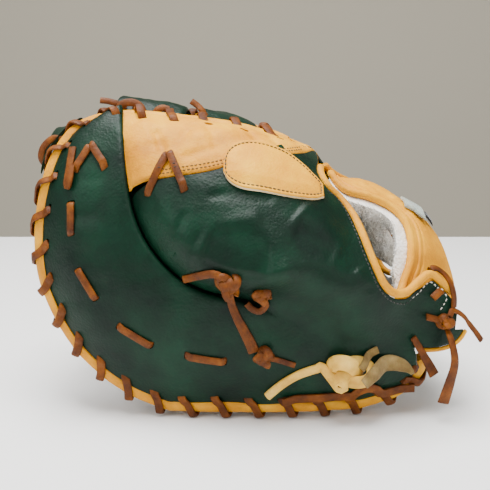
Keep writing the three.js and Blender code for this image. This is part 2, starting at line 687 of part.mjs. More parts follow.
// Rim and back of one half are one leather with a slot between them
const SEAM_ROWS = [CORNER, 10.3, 10.9, 11.6, 12.3, SEAM_END];
const SHELL_ROWS = [0, 0.35, 0.7, 1.2, 1.8, 2.6, 3.5, 4.4, 5.3, 6.2, SLOT_OPEN, 7.8, 8.5, 9.1, ...SEAM_ROWS,
  13.8, 14.9, SLOT_TOP];
const RIM_COLUMNS = [0, 0.2, 0.5, 1];
const BACK_COLUMNS = [0, 0.1, 0.24, 0.42, 0.68, 1];
function shellPoint(side, t, column) {
  const slot = slotLine(t);
  const row = slotTable.at("edge", t);
  if (column < RIM_COLUMNS.length) {
    const edge = inset(side, row, TRIM);
    const gap = SLOT_WIDTH / 2 / span(side, edge, slot);
    const w = RIM_COLUMNS[column] * (1 - gap);
    const dip = column === RIM_COLUMNS.length - 1 ? 0.25 * openness(t) : 0;
    const inner = LAYER_GAP * (1 + smooth(t - SEAM_END));
    return { at: mix(edge, slot, w), outer: rimOffset(w) * (1 - dip), inner };
  }
  const w = BACK_COLUMNS[column - RIM_COLUMNS.length];
  const top = topLine(side, Math.min(t, SEAM_END));
  const long = Math.max(span(side, slot, top), 1);
  const trim = t < CORNER ? ROLL / 2 + ROLL_GAP : SEAM_SPLIT;
  const start = Math.min(SLOT_WIDTH / 2 / long, 0.4);
  const end = 1 - shortOf(side, slot, top, topOffset(side, t), topDirection(side, t), trim);
  const share = start + (end - start) * w;
  const at = mix(slot, top, share);
  const bend = 4 * share * (1 - share);
  at.s += bend * side.top.at("bow", t);
  at.angle -= bend * side.top.at("sag", t);
  const distance = share * long;
  const outer = backOffset(side, t, at, distance);
  return { at, outer, inner: backInner(outer, distance) };
}
function buildShell(side, holes) {
  const columns = RIM_COLUMNS.length + BACK_COLUMNS.length;
  const grid = SHELL_ROWS.map((t) => Array.from({ length: columns }, (_, j) => shellPoint(side, t, j)));
  const outer = grid.map((row) => row.map((p) => place(side, p.at, p.outer)));
  const inner = grid.map((row) => row.map((p) => place(side, p.at, p.inner)));
  const gapColumn = RIM_COLUMNS.length - 1;
  const keep = (i, j) => {
    if (j < gapColumn) return true;
    if (j === gapColumn) return SHELL_ROWS[i + 1] <= SLOT_OPEN;
    return SHELL_ROWS[i + 1] <= SEAM_END;
  };
  return piece(`${side.name}_shell`, cut(wall(outer, inner, keep), holes), GREEN);
}

// The panel between the seam and the web edge
const PANEL_ROWS = SEAM_ROWS.map((t) => (SEAM_END - t) / (SEAM_END - CORNER)).reverse();
const PANEL_COLUMNS = [0, 0.35, 0.7, 1];
const PANEL_EDGE = [15.05, 19.1]; // EDGE rows at its two ends
function panelPoint(side, p, w) {
  const t = SEAM_END - (SEAM_END - CORNER) * p;
  const seam = topLine(side, t);
  const edge = inset(side, PANEL_EDGE[0] + (PANEL_EDGE[1] - PANEL_EDGE[0]) * p, TRIM);
  const start = shortOf(side, edge, seam, topOffset(side, t), topDirection(side, t), SEAM_SPLIT);
  const at = mix(seam, edge, start + (1 - start) * w);
  at.s += p < 0.01 ? (SLOT_WIDTH / 2 + SEAM_GAP) / HALF : 0;
  const low = topOffset(side, t);
  const outer = low + (EDGE_PAD - low) * w ** 1.6;
  const hollow = smooth((1 - w) / 0.7);
  const base = LAYER_GAP * (1 + p ** 4);
  const inner = base + Math.max(outer - BACK_LEATHER - base, 0) * hollow;
  return { at, outer, inner };
}
function buildPanel(side, look, holes) {
  const grid = PANEL_ROWS.map((p) => PANEL_COLUMNS.map((w) => panelPoint(side, p, w)));
  const outer = grid.map((row) => row.map((p) => place(side, p.at, p.outer)));
  const inner = grid.map((row) => row.map((p) => place(side, p.at, p.inner)));
  return piece(`${side.name}_web_panel`, cut(wall(outer, inner), holes), look);
}

// The binding of the laced edge
function buildBinding(side) {
  const [heel, corner, crotch, end] = BINDING_STRETCHES;
  const rows = [
    ...edgeRows(side, heel, corner, BINDING_WIDTH),
    ...edgeRows(side, corner, crotch, 3 * BINDING_WIDTH).slice(1),
    ...edgeRows(side, crotch, end, 1.5 * BINDING_WIDTH).slice(1),
  ];
  const w = BINDING_WIDTH / 2;
  const d = BINDING_DEPTH / 2;
  const section = [[w, d], [-0.5 * w, d], [-w, 0], [-0.5 * w, -d], [w, -d]];
  const rings = rows.map((row) => {
    const { at, inwards, out } = edgeFrame(side, row);
    const middle = place(side, at, EDGE_MIDDLE);
    return section.map(([x, y]) => middle.clone().addScaledVector(inwards, x).addScaledVector(out, y));
  });
  return piece(`${side.name}_binding`, loft(rings), TAN);
}

// The leather or lace already built at a spot: its offset and its direction, found by looking down on it
const caster = new THREE.Raycaster();
const LOOK = 120; // offset from which to look
function coverAt(side, at, under) {
  const { out } = frame(side, at, 0);
  caster.set(place(side, at, LOOK), out.clone().negate());
  const hits = under.flatMap((mesh) => caster.intersectObject(mesh));
  hits.sort((a, b) => a.distance - b.distance);
  if (hits.length === 0) return { offset: 0, normal: out };
  return { offset: LOOK - hits[0].distance, normal: hits[0].face.normal.clone() };
}
// Stations of a lace laid over spots: each on what lies under its middle and its two edges, or at its own
// height, which over gives from the outside of the back
function laid(side, spots, under, width) {
  const covers = spots.map((at) => coverAt(side, at, under));
  const given = (at) => (at.over === undefined ? at.height : swell(side, at) + at.over);
  const height = (at, i) => given(at) ?? covers[i].offset;
  const rough = spots.map((at, i) => place(side, at, height(at, i)));
  return spots.map((at, i) => {
    const onward = rough[Math.min(i + 1, rough.length - 1)].clone().sub(rough[Math.max(i - 1, 0)]);
    const { normal } = given(at) ? frame(side, at, given(at)) : covers[i];
    const across = new THREE.Vector3().crossVectors(normal, onward).normalize();
    let offset = height(at, i);
    if (!given(at)) {
      for (const edge of [-width / 2, width / 2]) {
        const beside = moved(side, at, offset, across, edge);
        offset = Math.max(offset, Math.min(coverAt(side, beside, under).offset, offset + width / 2));
      }
    }
    const point = place(side, at, offset + (at.rise ?? 0) + SEAM_GAP + LACE_THICK / 2);
    return { point, across };
  });
}

// A stitch: down a hole at each end and over the leather between
function stitch(side, from, to, rise, under) {
  const spots = [from, mix(from, to, 0.5), to];
  const stations = laid(side, spots.map((at) => ({ ...at, rise })), under, LACE_WIDTH);
  const across = stations[1].across;
  const legs = [from, to].map((at, i) => {
    const { out } = frame(side, at, 0);
    const top = stations[2 * i].point;
    return { low: top.clone().addScaledVector(out, -STITCH_DEPTH), top, out };
  });
  const path = [legs[0].low, ...stations.map((station) => station.point), legs[1].low];
  const holes = legs.map(({ low, top, out }) => flatLace(
    [low.clone().addScaledVector(out, -HOLE_GAP), top.clone().addScaledVector(out, LACE_WIDTH)]
      .map((point) => ({ point, across })),
    LACE_WIDTH + 2 * HOLE_GAP,
    LACE_THICK + 2 * HOLE_GAP,
  ));
  return { shape: flatLace(path.map((point) => ({ point, across }))), holes };
}
const STITCH_DEPTH = 8;

// The running lace along the rim, stitch by stitch, and the two laces that cross a seam as a V
const RIM_STITCHES = [
  { s: -0.788, angle: 42.6, toS: -0.787, toAngle: 29 },
  { s: -0.757, angle: 11.9, toS: -0.678, toAngle: -1 },
  { s: -0.578, angle: -11.9, toS: -0.433, toAngle: -17.5 },
  { s: -0.279, angle: -18.8, toS: -0.107, toAngle: -18.4 },
];
const RIM_RISE = 0.3;
const CROSSED = [
  { name: "finger_rim_crossed_lace", left: spot(-0.769, 54.4), top: spot(-0.705, 61.6), right: spot(-0.637, 54.8) },
  { name: "finger_seam_crossed_lace", left: spot(-0.438, 45.2), top: spot(-0.352, 56.6), right: spot(-0.278, 45.2) },
];
const CROSSED_RISE = 2;
function pierce(side, stitches) {
  const holes = stitches.flatMap((one) => one.holes);
  for (const leather of side.leathers) leather.geometry = cut(leather.geometry, holes);
}
function buildStitches(side) {
  const stitches = RIM_STITCHES.map(({ s, angle, toS, toAngle }) =>
    stitch(side, spot(s, angle), spot(toS, toAngle), RIM_RISE, side.leathers));
  pierce(side, stitches);
  stitches.forEach(({ shape }, i) => side.cover.push(piece(`${side.name}_rim_lace_${i + 1}`, shape, LACE)));
}
function buildCrossed(side) {
  for (const { name, left, top, right } of CROSSED) {
    const pair = [left, right].map((foot) => stitch(side, foot, top, CROSSED_RISE, side.leathers));
    pierce(side, pair);
    side.cover.push(piece(name, join(pair.map(({ shape }) => shape)), LACE));
  }
}

// A knot: a closed lump of wound lace that rests on what lies under it, with its lace ends laid out from it
const KNOT_RINGS = [0, 0.45, 0.8];
function knot(side, at, size, under) {
  const ground = coverAt(side, at, under).offset;
  const { along, normal } = frame(side, at, ground);
  const first = along.clone().normalize();
  const second = new THREE.Vector3().crossVectors(normal, first);
  let middle = ground;
  for (const ring of KNOT_RINGS) {
    for (let angle = 0; angle < 2 * Math.PI; angle += Math.PI / 4) {
      const [x, y] = [ring * Math.cos(angle), ring * Math.sin(angle)];
      const aside = moved(side, at, ground, first, x * size.long / 2);
      const beside = moved(side, aside, ground, second, y * size.wide / 2);
      const clear = (size.high / 2) * Math.sqrt(1 - ring * ring) + SEAM_GAP;
      middle = Math.max(middle, coverAt(side, beside, under).offset + clear);
    }
  }
  const centre = place(side, at, middle);
  const matrix = new THREE.Matrix4().makeBasis(
    first.clone().setLength(size.long / 2),
    second.clone().setLength(size.wide / 2),
    normal.clone().setLength(size.high / 2),
  ).setPosition(centre);
  return { shape: new THREE.IcosahedronGeometry(1, 1).applyMatrix4(matrix), centre };
}
function buildKnot(side, { name, knot: at, size, tails }, look = LACE, width = LACE_WIDTH) {
  const lump = knot(side, at, size, side.cover);
  const shapes = [lump.shape];
  for (const tail of tails) {
    const stations = laid(side, tail, side.cover, width);
    stations.unshift({ point: lump.centre, across: stations[0].across });
    shapes.push(flatLace(stations, width));
  }
  side.cover.push(piece(name, join(shapes), look));
}
const SMALL_KNOT = { long: 11, wide: 12, high: 9 };
const RIM_LUMP = { long: 13, wide: 14, high: 9 };
const LARGE_KNOT = { long: 16, wide: 22, high: 12 };
const TIE_KNOT = { long: 32, wide: 22, high: 13 };

// The wrist strap, its rolled edge and the fleece inside it
const STRAP_COLUMNS = [0, 0.33, 0.67, 1];
const FLEECE_COLUMNS = [0, 0.22, 0.6, 1];
const FLEECE_END = 0.75; // share of the strap's width that the fleece lines
const FLEECE_LIP = 8; // how far the fleece stands out of the strap at its two ends
const LAST_STRAP_ROW = STRAP.length - 1;
function strapSpot(r, w) {
  const left = spot(strapTable.at("left", r), strapTable.at("leftAngle", r));
  const right = spot(strapTable.at("right", r), strapTable.at("rightAngle", r));
  return mix(left, right, w);
}
function strapOffset(r, at) {
  return swell(FINGER, at) - STRAP_LEATHER * strapTable.at("depth", r);
}
function strapEdge(r) {
  const at = strapSpot(r, 0);
  return place(FINGER, at, strapOffset(r, at) - STRAP_LEATHER / 2);
}
function strapDirection(r) {
  const step = 0.04;
  return strapEdge(r + step).sub(strapEdge(r - step)).normalize();
}
// Share of the strap's width at a row that a distance from its left edge takes
function strapShare(r, distance) {
  const left = strapSpot(r, 0);
  return shortOf(FINGER, strapSpot(r, 1), left, strapOffset(r, left), strapDirection(r), distance);
}
function buildStrap() {
  const rows = STRAP.map((_, r) => r);
  const spots = rows.map((r) => {
    const start = strapShare(r, ROLL / 2 + STRAP_ROLL_GAP);
    return STRAP_COLUMNS.map((w) => strapSpot(r, start + (1 - start) * w));
  });
  const face = (depth) => spots.map((row, r) => row.map((at) => place(FINGER, at, strapOffset(r, at) - depth)));
  const strap = piece("wrist_strap", wall(face(0), face(STRAP_LEATHER)), TAN);
  const roll = piece("strap_edge_roll", tube(rows.map(strapEdge), ROLL), TAN);
  const ends = (r) => Math.abs((2 * r) / LAST_STRAP_ROW - 1) ** 3;
  const lining = rows.map((r) => {
    const start = -strapShare(r, FLEECE_LIP) * ends(r);
    return FLEECE_COLUMNS.map((w) => strapSpot(r, start + (FLEECE_END - start) * w));
  });
  const top = ROLL / 2 + STRAP_LEATHER / 2 + ROLL_GAP;
  const pile = [0.5, 1, 1, 0.4].map((share) => top + FLEECE_THICK * share);
  const fleeceFace = (depths) => lining.map((row, r) => row.map((at, j) =>
    place(FINGER, at, strapOffset(r, at) - depths[j])));
  piece("wrist_fleece", wall(fleeceFace(pile.map(() => top)), fleeceFace(pile)), FLEECE);
  return [strap, roll];
}

// The hook and loop tab on the strap with its pull. rise lifts its outer face off the strap.
const TAB = [
  { s: 0.73, low: 74, high: 85, rise: 0.4 },
  { s: 0.78, low: 72.5, high: 84, rise: 1.6 },
  { s: 0.83, low: 71.5, high: 83, rise: 3.4 },
];
const PULL = [
  { s: 0.835, low: 75, high: 79, rise: 4 },
  { s: 0.87, low: 74.5, high: 78.5, rise: 3.4 },
];
const TAB_LEATHER = 2;
function buildTab(name, rows, look, under) {
  const face = (depth) => rows.map(({ s, low, high, rise }) => [low, (low + high) / 2, high].map((angle) => {
    const at = spot(s, angle);
    return place(FINGER, at, coverAt(FINGER, at, under).offset + SEAM_GAP + rise + depth);
  }));
  return piece(name, wall(face(TAB_LEATHER), face(0)), look);
}

// Rolled edges of the two backs round the hand opening, and the piping round their heels
const ROLL_END = 9.1;
function buildRoll(side) {
  const rows = SHELL_ROWS.filter((t) => t > 0 && t <= ROLL_END);
  const points = rows.map((t) => topPoint(side, t, BACK_LEATHER / 2));
  side.cover.push(piece(`${side.name}_opening_roll`, tube(points, ROLL), TAN));
}
function buildPiping(side) {
  const first = RIM_COLUMNS.length + 1;
  const columns = BACK_COLUMNS.slice(1).map((_, j) => first + j);
  const middle = (t, column) => {
    const { at, outer } = shellPoint(side, t, column);
    return place(side, at, outer - BACK_LEATHER / 2);
  };
  const points = columns.map((column) => {
    const before = middle(0, Math.max(column - 1, first));
    const after = middle(0, Math.min(column + 1, columns[columns.length - 1]));
    const on = after.sub(before).normalize();
    const outwards = middle(0, column).sub(middle(0.15, column));
    outwards.addScaledVector(on, -outwards.dot(on)).setLength(PIPING / 2 + HOLE_GAP);
    return middle(0, column).add(outwards);
  });
  side.cover.push(piece(`${side.name}_heel_piping`, tube(points, PIPING, 5), TAN));
}

// The pad over the index finger: s with its lower and upper edge
const INDEX_PAD = [
  { s: -0.112, low: 51, high: 54 },
  { s: -0.085, low: 48, high: 59.3 },
  { s: -0.03, low: 46.2, high: 62.6 },
  { s: 0.055, low: 46.2, high: 64.3 },
  { s: 0.157, low: 46.8, high: 65 },
  { s: 0.24, low: 48.3, high: 62.8 },
  { s: 0.29, low: 50, high: 60 },
  { s: 0.325, low: 52.4, high: 57.8 },
];
function buildIndexPad() {
  const spots = INDEX_PAD.map(({ s, low, high }) => [0, 0.33, 0.67, 1].map((w) => spot(s, low + (high - low) * w)));
  const face = (rise) => spots.map((row) => row.map((at) => place(FINGER, at, swell(FINGER, at) + rise)));
  return piece("index_pad", wall(face(FIT_GAP / 2 + PAD_LEATHER), face(FIT_GAP / 2)), TAN);
}

// The web between the two halves: three bars over one post. rise is a share of WEB_RISE above the ridge.
const WEB_BARS = [
  { name: "web_tip_bar", from: 12.8, to: 14.2, rise: -1.7 },
  { name: "web_upper_bar", from: 14.75, to: 16.2, rise: 1 },
  { name: "web_lower_bar", from: 16.45, to: 17.7, rise: 0.2 },
];
const WEB_POST = [
  { s: 0.18, half: 5, rise: -0.4 },
  { s: 0.06, half: 6.5, rise: -0.1 },
  { s: -0.1, half: 7, rise: 0.12 },
  { s: -0.28, half: 7, rise: 0.34 },
  { s: -0.5, half: 7, rise: 0.5 },
  { s: -0.68, half: 7, rise: -1.1 },
  { s: -0.84, half: 6, rise: -2.6 },
];
const WEB_REACH = BINDING_WIDTH / 2 + LACE_THICK + HOLE_GAP + SEAM_GAP; // from the edge line to the bars' ends
function buildWeb() {
  for (const bar of WEB_BARS) {
    const rows = [0, 0.33, 0.67, 1].map((w) => bar.from + (bar.to - bar.from) * w);
    const columns = [0, 0.15, 0.38, 0.62, 0.85, 1];
    const face = (depth) => rows.map((row) => {
      const near = place(FINGER, inset(FINGER, row, -WEB_REACH), EDGE_MIDDLE - depth);
      const far = place(THUMB, inset(THUMB, row, -WEB_REACH), EDGE_MIDDLE - depth);
      const ridge = place(FINGER, spot(near.x / HALF, RIDGE), EDGE_MIDDLE - depth);
      const arch = ridge.z - (near.z + far.z) / 2 + WEB_RISE * bar.rise;
      return columns.map((w) => {
        const point = near.clone().lerp(far, w);
        point.z += 4 * w * (1 - w) * arch;
        return point;
      });
    });
    piece(bar.name, wall(face(-WEB_LEATHER / 2), face(WEB_LEATHER / 2)), GREEN);
  }
  const post = (depth) => WEB_POST.map(({ s, half, rise }) => [-1, 0, 1].map((side) => {
    const point = place(FINGER, spot(s, RIDGE), EDGE_MIDDLE - depth - WEB_LEATHER);
    point.z += WEB_RISE * rise - FIT_GAP;
    point.y += side * half;
    return point;
  }));
  piece("web_post", wall(post(-WEB_LEATHER / 2), post(WEB_LEATHER / 2)), GREEN);
}

// Free lace ends and ties on the finger back, each a short list of spots; rise lifts a spot off the leather
const SLOT_KNOT = {
  name: "finger_slot_lace",
  knot: spot(-0.088, 15.4),
  size: LARGE_KNOT,
  tails: [
    [{ s: -0.078, angle: 8 }, { s: -0.055, angle: 2.5 }, { s: -0.025, angle: -3 }, { s: 0.005, angle: -8.5 },
      { s: 0.02, angle: -12 }],
    [{ s: -0.15, angle: 18.5, rise: 4 }, { s: -0.22, angle: 17.5, rise: 3 }, { s: -0.285, angle: 16, rise: 3 }],
  ],
};
const CURL_KNOT = {
  name: "finger_curl_lace",
  knot: spot(0.056, 13.4),
  size: SMALL_KNOT,
  tails: [
    [{ s: 0.07, angle: 9.5, rise: 1 }, { s: 0.045, angle: 6.6, rise: 1 }, { s: 0.012, angle: 7, rise: 1 },
      { s: -0.012, angle: 9, rise: 1 }],
  ],
};
const RIM_KNOT = {
  name: "finger_rim_lace_knot",
  knot: spot(0.067, -12.6),
  size: RIM_LUMP,
  tails: [[{ s: 0.12, angle: -13.6, rise: 1 }, { s: 0.16, angle: -14.4, rise: 1 }, { s: 0.2, angle: -15.2 }]],
};
const RAWHIDE = {
  name: "rawhide_tie",
  knot: spot(0.444, -13.7),
  size: TIE_KNOT,
  tails: [
    [{ s: 0.331, angle: -13.5, rise: 1 }, { s: 0.27, angle: -16.5, rise: 1 }, { s: 0.21, angle: -20, rise: 1 },
      { s: 0.14, angle: -26, rise: 1 }, { s: 0.08, angle: -32, rise: 1 }],
    [{ s: 0.55, angle: -10, rise: 1 }, { s: 0.61, angle: -7.5, rise: 1 }, { s: 0.67, angle: -7, rise: 2 },
      { s: 0.72, angle: -9, rise: 3 }, { s: 0.735, angle: -10.2, rise: 6.5 }],
  ],
};
const RAWHIDE_WIDTH = 7.5;
const HEEL_KNOT = {
  name: "heel_lace",
  knot: spot(0.883, 21),
  size: SMALL_KNOT,
  tails: [
    [{ s: 0.83, angle: 21.5, rise: 1 }, { s: 0.79, angle: 21.3 }],
    [{ s: 0.895, angle: 13, height: 34 }, { s: 0.91, angle: 3, height: 34 },
      { s: 0.895, angle: -8, height: 32 }, { s: 0.87, angle: -18, height: 32 }],
    [{ s: 0.92, angle: 29, rise: 3 }, { s: 0.98, angle: 28, height: 36 },
      { s: 1.03, angle: 22, height: 27 }, { s: 1.075, angle: 15, height: 19 }],
  ],
};

// Single laces: out of the strap and over the piping's end into the heel, the short end under it,
// and the stub that hangs from the heel's notch
const SINGLE_LACES = [
  {
    name: "strap_lace",
    spots: [{ s: 0.817, angle: 46.7, over: -6 }, { s: 0.85, angle: 48, over: -3.5 }, { s: 0.885, angle: 46.5, over: 0 },
      { s: 0.912, angle: 42, over: 4 }, { s: 0.925, angle: 36, over: 3.5 }, { s: 0.925, angle: 31, over: 0.5 }],
  },
  {
    name: "strap_lace_end",
    spots: [{ s: 0.815, angle: 30.5, rise: 0.3 }, { s: 0.84, angle: 33.5, rise: 0.6 }, { s: 0.862, angle: 36 }],
  },
  {
    name: "heel_stub_lace",
    spots: [{ s: 0.735, angle: 9 }, { s: 0.77, angle: 3, height: 17 }, { s: 0.81, angle: -4, height: 17 },
      { s: 0.84, angle: -10, height: 18 }],
  },
];

for (const side of [FINGER, THUMB]) side.whip = whip(side, edgeRows(side, FIRST_LACE_ROW, LAST_LACE_ROW, side.pitch));
buildPalm([...FINGER.whip.holes, ...THUMB.whip.holes]);
buildWeb();
const strap = buildStrap();
for (const side of [FINGER, THUMB]) {
  const shell = buildShell(side, side.whip.holes);
  const panel = buildPanel(side, TAN, side.whip.holes);
  side.leathers = [shell, panel];
  side.cover = [...strap, shell, panel];
  side.cover.push(buildBinding(side));
  side.cover.push(piece(`${side.name}_edge_lace`, side.whip.shape, LACE));
  buildRoll(side);
  buildPiping(side);
}
buildStitches(FINGER);
buildCrossed(FINGER);
buildTab("strap_tab", TAB, TAB_LOOK, strap);
buildTab("strap_pull", PULL, LINING, strap);
buildIndexPad();
buildKnot(FINGER, SLOT_KNOT);
buildKnot(FINGER, CURL_KNOT);
buildKnot(FINGER, RIM_KNOT);
buildKnot(FINGER, RAWHIDE, SUEDE, RAWHIDE_WIDTH);
buildKnot(FINGER, HEEL_KNOT);
for (const { name, spots } of SINGLE_LACES) {
  const stations = laid(FINGER, spots, FINGER.cover, LACE_WIDTH);
  FINGER.cover.push(piece(name, flatLace(stations), LACE));
}

// The mitt stands on the table with its middle over the origin
const box = new THREE.Box3().setFromObject(mitt);
mitt.position.set(-(box.min.x + box.max.x) / 2, -(box.min.y + box.max.y) / 2, -box.min.z);

export default mitt;
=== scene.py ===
# A first baseman's mitt lying palm down, seen from its finger half.
# Shapes are worked out in millimetres in the mitt's own coordinates: a share s along the length (-1 tip,
# +1 heel), an angle round the mitt (0 on the half's own side, 90 on the ridge) and an offset outwards
# from the palm leather. mesh_object turns them into metres in the row frame.
import math

import bpy
import numpy as np
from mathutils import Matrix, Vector
from mathutils.bvhtree import BVHTree


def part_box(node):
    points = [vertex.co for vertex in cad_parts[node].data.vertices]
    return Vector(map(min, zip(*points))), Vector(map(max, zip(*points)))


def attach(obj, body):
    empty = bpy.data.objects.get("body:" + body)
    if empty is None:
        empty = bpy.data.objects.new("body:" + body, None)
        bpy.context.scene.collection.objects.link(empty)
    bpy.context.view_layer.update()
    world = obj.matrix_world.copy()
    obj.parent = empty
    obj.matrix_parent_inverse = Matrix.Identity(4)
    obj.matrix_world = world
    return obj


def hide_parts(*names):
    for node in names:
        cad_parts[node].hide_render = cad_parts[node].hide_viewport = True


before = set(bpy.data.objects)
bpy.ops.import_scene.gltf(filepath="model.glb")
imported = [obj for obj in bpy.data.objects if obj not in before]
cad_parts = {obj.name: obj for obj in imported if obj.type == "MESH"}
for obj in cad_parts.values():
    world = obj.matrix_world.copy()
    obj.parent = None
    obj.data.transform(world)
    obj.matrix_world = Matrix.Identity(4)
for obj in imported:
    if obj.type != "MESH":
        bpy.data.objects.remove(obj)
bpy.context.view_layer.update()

# Sizes of the leathers and laces, in millimetres
HALF = 153.0
HEIGHT = 212.0
PALM_FRONT, PALM_BACK = 74.0, 68.0
PAD, EDGE_PAD, SLOT_DEPTH, SLOT_WIDTH = 14.5, 6.0, 7.0, 1.6
BACK_FRONT, BACK_BACK = PALM_FRONT + PAD + 24, PALM_BACK + PAD + 16
PALM_LEATHER, BACK_LEATHER = 3.0, 2.6
BINDING_WIDTH, BINDING_LIP = 6.0, 0.8
PIPING, ROLL = 3.2, 5.6
LACE_WIDTH, LACE_THICK = 5.2, 1.7
HOLE_INSET, HOLE_GAP = 9.5, 0.5
STRAP_LEATHER = 3.0
WEB_LEATHER, WEB_RISE = 5.0, 7.0
THUMB_REACH = 0.93
LAYER_GAP = 1.5
FIT_GAP, ROLL_GAP, EDGE_GAP, SEAM_SPLIT = 2.2, 1.5, 1.4, 0.7
EDGE_MIDDLE = (EDGE_PAD - PALM_LEATHER) / 2
BINDING_DEPTH = EDGE_PAD + PALM_LEATHER + 2 * BINDING_LIP
TRIM = BINDING_WIDTH / 2 + EDGE_GAP
RIDGE = 90.0
CROWN_POWER = 2.3  # squareness of the palm's arch above its axis
FOOT_SHARE = 2.2  # below the axis the wall follows an ellipse this many axis heights deep


class Table:
    """Rows of numbers read between their keys along a smooth curve."""

    def __init__(self, names, rows, key=None):
        self.columns = dict(zip(names.split(), np.array(rows, float).T))
        self.keys = self.columns[key] if key else np.arange(len(rows), dtype=float)

    def at(self, name, where):
        keys, values = self.keys, self.columns[name]
        last = len(keys) - 1
        before = np.maximum(np.arange(last + 1) - 1, 0)
        after = np.minimum(np.arange(last + 1) + 1, last)
        slope = (values[after] - values[before]) / (keys[after] - keys[before])
        x = np.clip(np.asarray(where, float), keys[0], keys[-1])
        i = np.clip(np.searchsorted(keys, x) - 1, 0, last - 1)
        step = keys[i + 1] - keys[i]
        t = (x - keys[i]) / step
        rise, fall = slope[i] * step, slope[i + 1] * step
        return (
            (2 * t**3 - 3 * t**2 + 1) * values[i] + (t**3 - 2 * t**2 + t) * rise
            + (3 * t**2 - 2 * t**3) * values[i + 1] + (t**3 - t**2) * fall
        )


PALM = Table("s axis front crown back", [
    (-1.0, 0.462, 0.6, 0.491, 0.59), (-0.75, 0.415, 0.81, 0.557, 0.81), (-0.4, 0.368, 0.945, 0.599, 0.94),
    (0.0, 0.33, 1.0, 0.599, 1.0), (0.28, 0.294, 0.975, 0.515, 0.975), (0.45, 0.264, 0.92, 0.34, 0.93),
    (0.65, 0.226, 0.82, 0.175, 0.85), (1.0, 0.16, 0.595, 0.085, 0.647),
], "s")
BACKS = Table("s front crown back", [
    (-1.0, 0.536, 0.547, 0.571), (-0.75, 0.696, 0.618, 0.724), (-0.4, 0.875, 0.656, 0.898),
    (0.0, 1.0, 0.651, 1.0), (0.3, 1.0, 0.561, 1.0), (0.42, 0.964, 0.5, 0.98), (0.55, 0.911, 0.5, 0.918),
    (0.7, 0.839, 0.476, 0.857), (0.85, 0.714, 0.425, 0.755), (1.0, 0.554, 0.302, 0.612),
], "s")
EDGE = Table("s angle", [
    (0.93, 24), (0.8, 3), (0.8, -14), (0.7, -28), (0.46, -37), (0.2, -43), (-0.1, -46), (-0.4, -46),
    (-0.66, -42.6), (-0.84, -32), (-0.935, -12), (-0.965, 14), (-0.955, 42), (-0.9, 62), (-0.78, 74),
    (-0.58, 79.5), (-0.36, 79), (-0.12, 77.5), (0.1, 79), (0.31, 86), (0.52, 88.8), (0.74, 88.8),
    (0.93, 88.8),
])
LAST_ROW, TIP_ROW, CROTCH_ROW = 22, 11.5, 19
SLOT = Table("s angle edge", [
    (0.74, 3.5, 1.3), (0.69, 5, 2.3), (0.62, 1, 3.1), (0.52, -2, 3.7), (0.38, -2, 4.3), (0.22, 2, 4.9),
    (0.06, 7.5, 5.5), (-0.06, 10.6, 6.0), (-0.17, 11.4, 6.5), (-0.28, 15, 7.2), (-0.37, 21.5, 8.1),
    (-0.44, 29.5, 9.2), (-0.49, 38, 10.4), (-0.522, 47.5, 11.7), (-0.545, 60, 13.0), (-0.562, 70, 14.1),
    (-0.572, 76, 14.9),
])
SLOT_OPEN, SLOT_TOP, CORNER, SEAM_END = 7.0, 16.0, 9.9, 12.9
SEAM = [(10.5, 0.25, 72, 0, 0), (11.2, 0.14, 63, 0, 0), (11.8, 0.02, 57.8, 0, 0), (12.3, -0.16, 52, 0, 0),
        (12.9, -0.49, 48, 0, 0)]
TOPS = "slot s angle bow sag"
FINGER_TOP = Table(TOPS, [
    (0, 0.985, 50, 0.1, 10), (0.35, 0.935, 41, 0.075, 7), (0.7, 0.872, 40.5, 0.05, 4),
    (1.1, 0.81, 41.4, 0.03, 2), (1.6, 0.75, 35.6, 0.01, 0), (2.3, 0.69, 28.9, 0, 0),
    (3.0, 0.63, 26.3, 0, 0), (3.8, 0.573, 28.4, 0, 0), (4.7, 0.528, 36.3, 0, 0),
    (5.6, 0.491, 45.7, 0, 0), (6.5, 0.455, 54.1, 0, 0),
    (7.4, 0.406, 60, 0, 0), (8.2, 0.345, 62, 0, 0), (8.8, 0.322, 67, 0, 0), (9.4, 0.332, 77, 0, 0),
    (9.9, 0.325, 85.5, 0, 0), *SEAM,
], "slot")
THUMB_TOP = Table(TOPS, [
    (0, 0.985, 46, 0.09, 9), (0.35, 0.93, 38, 0.07, 6), (0.7, 0.875, 31, 0.04, 3), (1.2, 0.82, 24, 0.01, 0),
    (1.9, 0.77, 20.5, 0, 0), (2.8, 0.725, 22.5, 0, 0), (3.9, 0.695, 31, 0, 0), (5.0, 0.67, 42, 0, 0),
    (6.2, 0.63, 54, 0, 0), (7.3, 0.56, 65, 0, 0), (8.3, 0.46, 74, 0, 0), (9.1, 0.37, 80, 0, 0),
    (9.9, 0.32, 85.5, 0, 0), *SEAM,
], "slot")
STRAP = Table("left left_angle right right_angle depth", [
    (0.655, 25, 0.9, 30, 4.2), (0.69, 36, 0.955, 45, 4.0), (0.725, 46, 0.975, 58, 3.1),
    (0.735, 56, 0.955, 69, 1.5), (0.715, 65, 0.93, 78, 0.4), (0.655, 69.6, 0.9, 86, 0.4),
    (0.58, 70, 0.87, 93, 0.4), (0.5, 69.7, 0.845, 99, 0.4), (0.44, 71, 0.82, 104, 0.4),
    (0.4, 76, 0.8, 109, 0.5), (0.392, 85, 0.79, 114, 1.0), (0.41, 96, 0.795, 120, 2.0),
    (0.45, 108, 0.815, 127, 2.6), (0.52, 120, 0.86, 135, 2.7), (0.61, 132, 0.9, 142, 2.7),
    (0.69, 143, 0.93, 149, 2.7),
])
LAST_STRAP_ROW = 15


